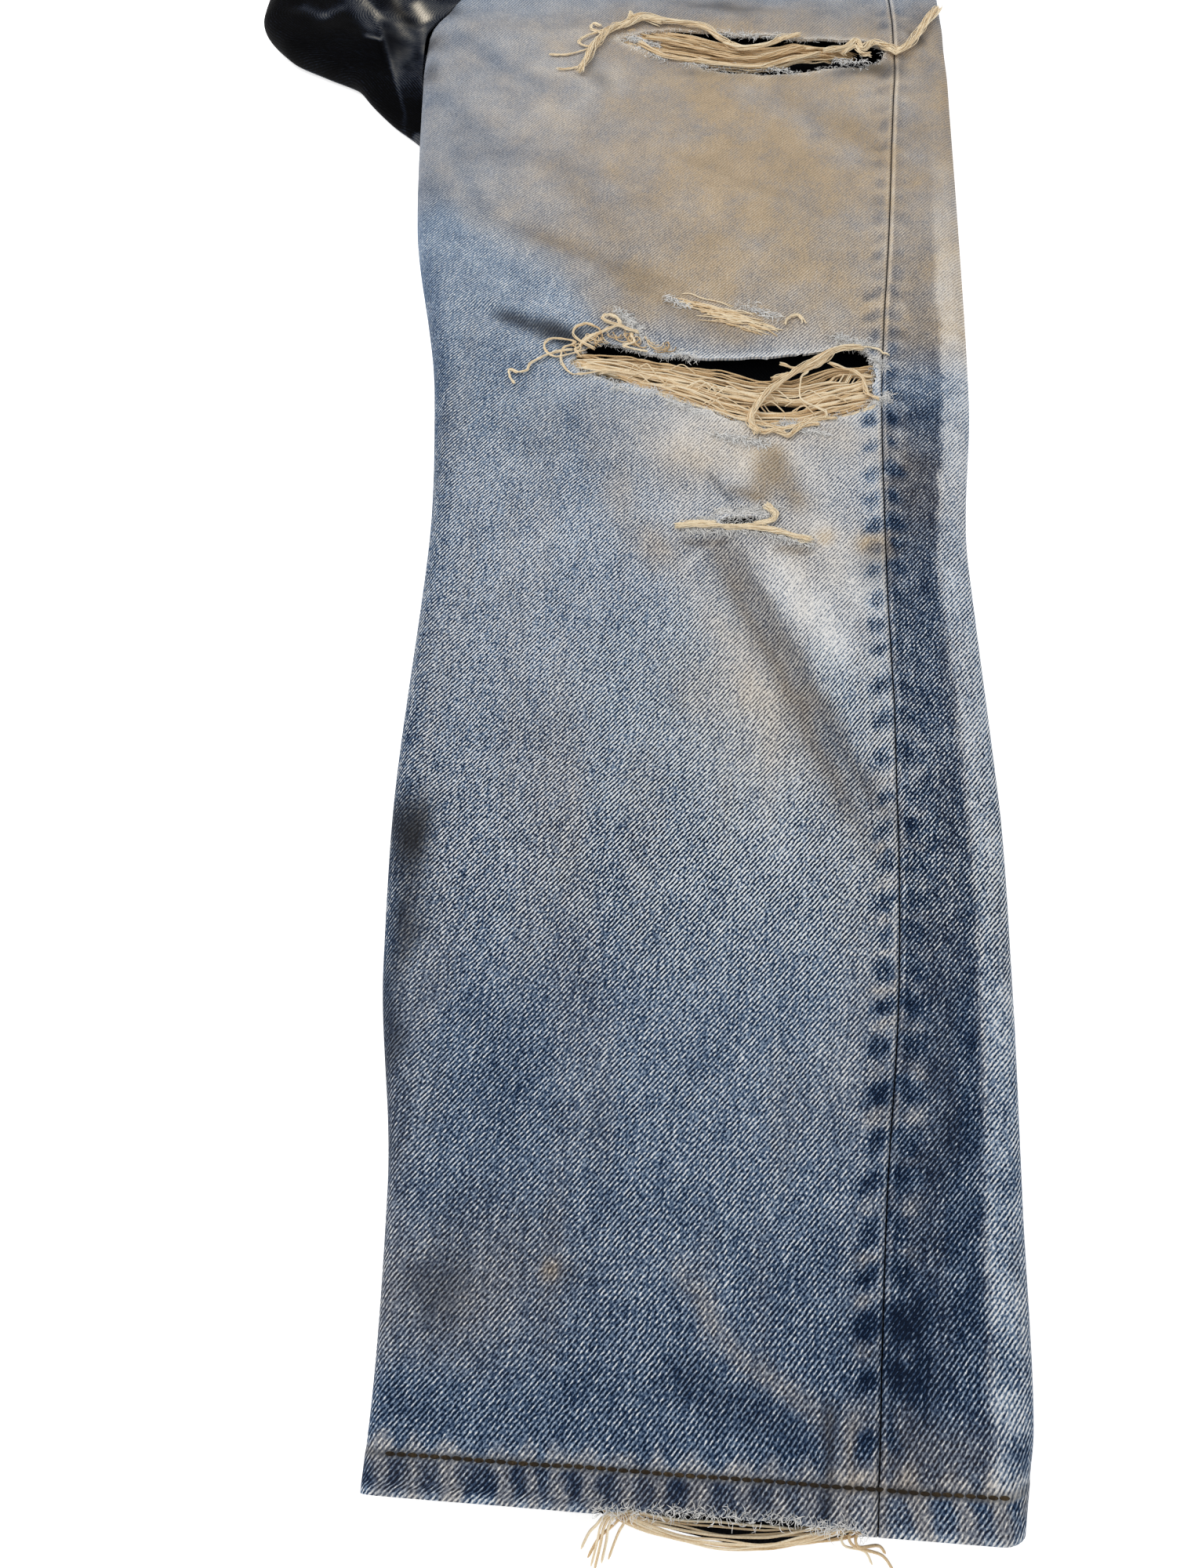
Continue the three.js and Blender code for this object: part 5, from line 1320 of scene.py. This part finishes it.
def sew(name, paths, pitch=0.0032, length=0.003, width=0.0013):
    points, edges = [], []
    for path in paths:
        start = len(points)
        points += toFrame(path).tolist()
        edges += [(k, k + 1) for k in range(start, len(points) - 1)]
    mesh = bpy.data.meshes.new(name + "Path")
    mesh.from_pydata(points, edges, [])
    guide = bpy.data.objects.new(name + "Path", mesh)
    bpy.context.scene.collection.objects.link(guide)
    modifier = guide.modifiers.new("stitches", "NODES")
    modifier.node_group = sewing
    sockets = {s.name: s.identifier for s in sewing.interface.items_tree if s.in_out == "INPUT"}
    for key, value in (("Pitch", pitch), ("Length", length), ("Width", width), ("Thread", seamThread)):
        modifier[sockets[key]] = value
    made = bpy.data.meshes.new_from_object(guide.evaluated_get(bpy.context.evaluated_depsgraph_get()))
    made.name = name
    guide.modifiers.remove(modifier)
    bpy.data.objects.remove(guide)
    n = len(made.vertices)
    co = np.zeros(n * 3, np.float32)
    made.vertices.foreach_get("co", co)
    co = co.reshape(-1, 3) * 1000
    shades = (0.45 + 0.25 * noise(co[:, 0], co[:, 1], 6, 98)).astype(np.float32)
    made.attributes.new("shade", "FLOAT", "POINT").data.foreach_set("value", shades)
    made.attributes.new("cloth", "FLOAT_VECTOR", "POINT").data.foreach_set("vector", co.reshape(-1))
    made.polygons.foreach_set("use_smooth", np.ones(len(made.polygons), bool))
    piece = bpy.data.objects.new(name, made)
    bpy.context.scene.collection.objects.link(piece)
    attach(piece, "root")
    return piece


def onTop(xs, ups, lift=0.12):
    return np.c_[xs, ups, topHeight(xs, ups) + lift]


hemXs = np.linspace(-84, 92, 260)
hemStitch = sew("hemStitching",
                [onTop(hemXs, np.full(260, cloth["hemHeight"]) + 0.25 * noise(hemXs, hemXs * 0, 14, 99))])
mouth = pocketMouth()[:-2]
pocketRows = [onTop(mouth[:, 0] - d * 0.8, mouth[:, 1] - d * 0.6) for d in (2.2, 7.0)]
flyUps = np.linspace(775, 911, 60)
flyEdge = curveOf(leftHalf, "inner", flyUps) + curveOf(leftHalf, "loft", flyUps) / 2
flyCurve = np.where(flyUps < 805, 34 * np.sqrt(np.clip(1 - ((805 - flyUps) / 30) ** 2, 0, 1)), 34)
flyRows = [onTop(flyEdge + flyCurve + d, flyUps) for d in (0, 5)]
bandXs = np.linspace(-70, 88, 120)
bandStitchRows = [onTop(bandXs, np.full(120, u), 0.1) for u in (916.2, 947.8)]
bodyStitch = sew("waistAndPocketStitching", pocketRows + flyRows + bandStitchRows)
loopUps = np.linspace(910, 946, 30)
loopArch = loopLook["stand"] * np.sin(np.pi * np.linspace(0.08, 0.93, 30)) ** 0.6
loopRows = [np.c_[np.full(30, c + s), loopUps, cloth["upperBase"] + 12 + 1.75 + loopArch]
            for c in loopLook["places"].values() for s in (-2.6, 2.6)]
loopStitch = sew("beltLoopStitching", loopRows)
print("sewing made")

# Button: a domed shank button with a rolled rim
buttonLook = {"radius": 8.5, "height": 3.2, "ringSteps": 64}


def makeButton():
    r, h = buttonLook["radius"], buttonLook["height"]
    profile = curvePoints([(0.02, 0, 0), (r * 0.45, 0.02, 0), (r * 0.46, h * 0.34, 0),
                           (r * 0.9, h * 0.36, 0), (r, h * 0.6, 0), (r * 0.95, h * 0.9, 0),
                           (r * 0.86, h * 0.93, 0), (r * 0.78, h * 0.82, 0), (r * 0.5, h * 0.96, 0),
                           (0.02, h, 0)], 60)[:, :2]
    profile[:, 0] = np.clip(profile[:, 0], 0.02, r)
    profile[:, 1] = np.clip(profile[:, 1], 0, h)
    a = np.linspace(0, 2 * np.pi, buttonLook["ringSteps"], endpoint=False)
    z0 = buttonLow.z * 1000
    points = np.stack([buttonX + profile[:, None, 0] * np.cos(a), 932 + profile[:, None, 0] * np.sin(a),
                       z0 + profile[:, None, 1] + 0 * a], axis=-1)
    ids = np.arange(points.shape[0] * points.shape[1]).reshape(points.shape[:2])
    nxt = np.roll(ids, -1, axis=1)
    faces = np.stack([ids[:-1], nxt[:-1], nxt[1:], ids[1:]], axis=-1).reshape(-1, 4).tolist()
    faces += [ids[0, ::-1].tolist(), ids[-1].tolist()]
    mesh = bpy.data.meshes.new("waistButtonMetal")
    mesh.from_pydata(toFrame(points.reshape(-1, 3)).tolist(), [], faces)
    mesh.polygons.foreach_set("use_smooth", np.ones(len(mesh.polygons), bool))
    material, tree = newMaterial("agedButton")
    where = put(tree, "ShaderNodeTexCoord").outputs["Object"]
    spots = put(tree, "ShaderNodeTexNoise", {"Vector": where, "Scale": 420.0, "Detail": 4.0})
    fine = put(tree, "ShaderNodeTexNoise", {"Vector": where, "Scale": 2600.0, "Detail": 2.0})
    color = ramp(tree, spots.outputs[0],
                 [(0.3, linear(92, 76, 50)), (0.55, linear(146, 124, 86)), (0.75, linear(176, 156, 118))])
    bump = put(tree, "ShaderNodeBump", {"Strength": 0.3, "Distance": 0.0001, "Height": fine.outputs[0]})
    rough = calc(tree, "MULTIPLY_ADD", spots.outputs[0], 0.3, 0.3)
    shader = put(tree, "ShaderNodeBsdfPrincipled",
                 {"Base Color": color, "Metallic": 0.9, "Normal": bump.outputs[0], "Roughness": rough})
    put(tree, "ShaderNodeOutputMaterial", {0: shader.outputs[0]})
    mesh.materials.append(material)
    piece = bpy.data.objects.new("waistButtonMetal", mesh)
    bpy.context.scene.collection.objects.link(piece)
    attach(piece, "root")
    return piece


button = makeButton()

# Each piece, a finish name (not used further) and the model parts it replaces, which are hidden
standsFor = [
    (frontLeft, "denim_faded", ["front_left"]), (backLeft, "denim_faded", ["back_left"]),
    (frontRight, "denim_dark", ["front_right"]), (backRight, "denim_faded", ["back_right"]),
    (pocketFacing, "denim_faded", ["pocket_facing_left"]), (flyShield, "denim_faded", ["fly_shield"]),
    (waistLeft, "denim_faded", ["waistband_left"]), (waistRight, "denim_faded", ["waistband_right"]),
    (waistBackRight, "denim_faded", ["waistband_back_right"]),
    (beltLoops["Front"], "denim_faded", ["belt_loop_front"]),
    (beltLoops["Side"], "denim_faded", ["belt_loop_side"]), (button, "button_metal", ["waist_button"]),
    (kneeThreads, "cotton_thread", ["knee_rip_threads"]),
    (thighThreads, "cotton_thread", ["thigh_rip_threads"]),
    (hemThreads, "cotton_thread", ["hem_threads"]), (shinThreads, "cotton_thread", []),
    (fuzz, "cotton_thread", []),
    (hemStitch, "cotton_thread", []), (bodyStitch, "cotton_thread", []), (loopStitch, "cotton_thread", []),
]
for piece, slot, nodes in standsFor:
    if nodes:
        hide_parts(*nodes)


def declareSheet(lines, rows):  # widths of the cut laid flat, computed and not kept
    widths = np.array([sum(resample(line, count=2)[2] for line in lines(up)) for up in rows])


cutRows = np.linspace(0, cloth["waistLow"], 60)
declareSheet(frontLeftLines, cutRows)
declareSheet(backLeftLine, cutRows)
declareSheet(frontRightLine, cutRows)
declareSheet(backRightLine, cutRows)
declareSheet(waistLeftLines, bandRows)
declareSheet(frontRightLine, bandRows)
declareSheet(backRightLine, bandRows)

# Stage, light and camera
stageLook = {"floor": linear(255, 255, 255), "glow": 0.62, "sky": 0.62, "keyPower": 9.0, "fillPower": 2.0}
floorMesh = bpy.data.meshes.new("floor")
floorMesh.from_pydata([(-6, -6, -0.0006), (6, -6, -0.0006), (6, 6, -0.0006), (-6, 6, -0.0006)], [],
                      [(0, 1, 2, 3)])
floor = bpy.data.objects.new("floor", floorMesh)
bpy.context.scene.collection.objects.link(floor)
floorMaterial, floorTree = newMaterial("paleFloor")
shader = put(floorTree, "ShaderNodeBsdfPrincipled",
             {"Base Color": linear(250, 250, 250), "Roughness": 0.9,
              "Emission Color": (1, 1, 1, 1), "Emission Strength": stageLook["glow"]})
put(floorTree, "ShaderNodeOutputMaterial", {0: shader.outputs[0]})
floorMesh.materials.append(floorMaterial)

world = bpy.data.worlds.new("softSky")
bpy.context.scene.world = world
world.use_nodes = True
world.node_tree.nodes["Background"].inputs[0].default_value = (1, 1, 1, 1)
world.node_tree.nodes["Background"].inputs[1].default_value = stageLook["sky"]


def areaLight(name, place, aim, size, power):
    light = bpy.data.lights.new(name, "AREA")
    light.shape, light.size, light.energy = "DISK", size, power
    lamp = bpy.data.objects.new(name, light)
    lamp.location = place
    lamp.rotation_euler = (Vector(aim) - Vector(place)).to_track_quat("-Z", "Y").to_euler()
    bpy.context.scene.collection.objects.link(lamp)


areaLight("keyLight", (-1.0, 0.35, 1.15), (0.03, -0.1, 0), 0.7, stageLook["keyPower"])
areaLight("fillLight", (0.9, -0.9, 1.4), (0.03, -0.1, 0), 1.2, stageLook["fillPower"])

view = {"x": -27, "up": 33.3, "height": 410, "pitch": 63.1, "turn": 2.06, "lens": 27}
cameraData = bpy.data.cameras.new("camera")
cameraData.lens, cameraData.sensor_width, cameraData.sensor_fit = view["lens"], 36, "AUTO"
cameraData.clip_start = 0.01
camera = bpy.data.objects.new("camera", cameraData)
place = (np.array([view["x"], view["up"], view["height"]]) + shift) / 1000
pitch, turn = math.radians(view["pitch"]), math.radians(view["turn"])
ahead = Vector((-math.sin(turn) * math.cos(pitch), math.cos(turn) * math.cos(pitch), -math.sin(pitch)))
camera.location = place
camera.rotation_euler = ahead.to_track_quat("-Z", "Y").to_euler()
bpy.context.scene.collection.objects.link(camera)
bpy.context.scene.camera = camera
bpy.context.scene.view_settings.view_transform = "Standard"
print("stage, light and camera set")
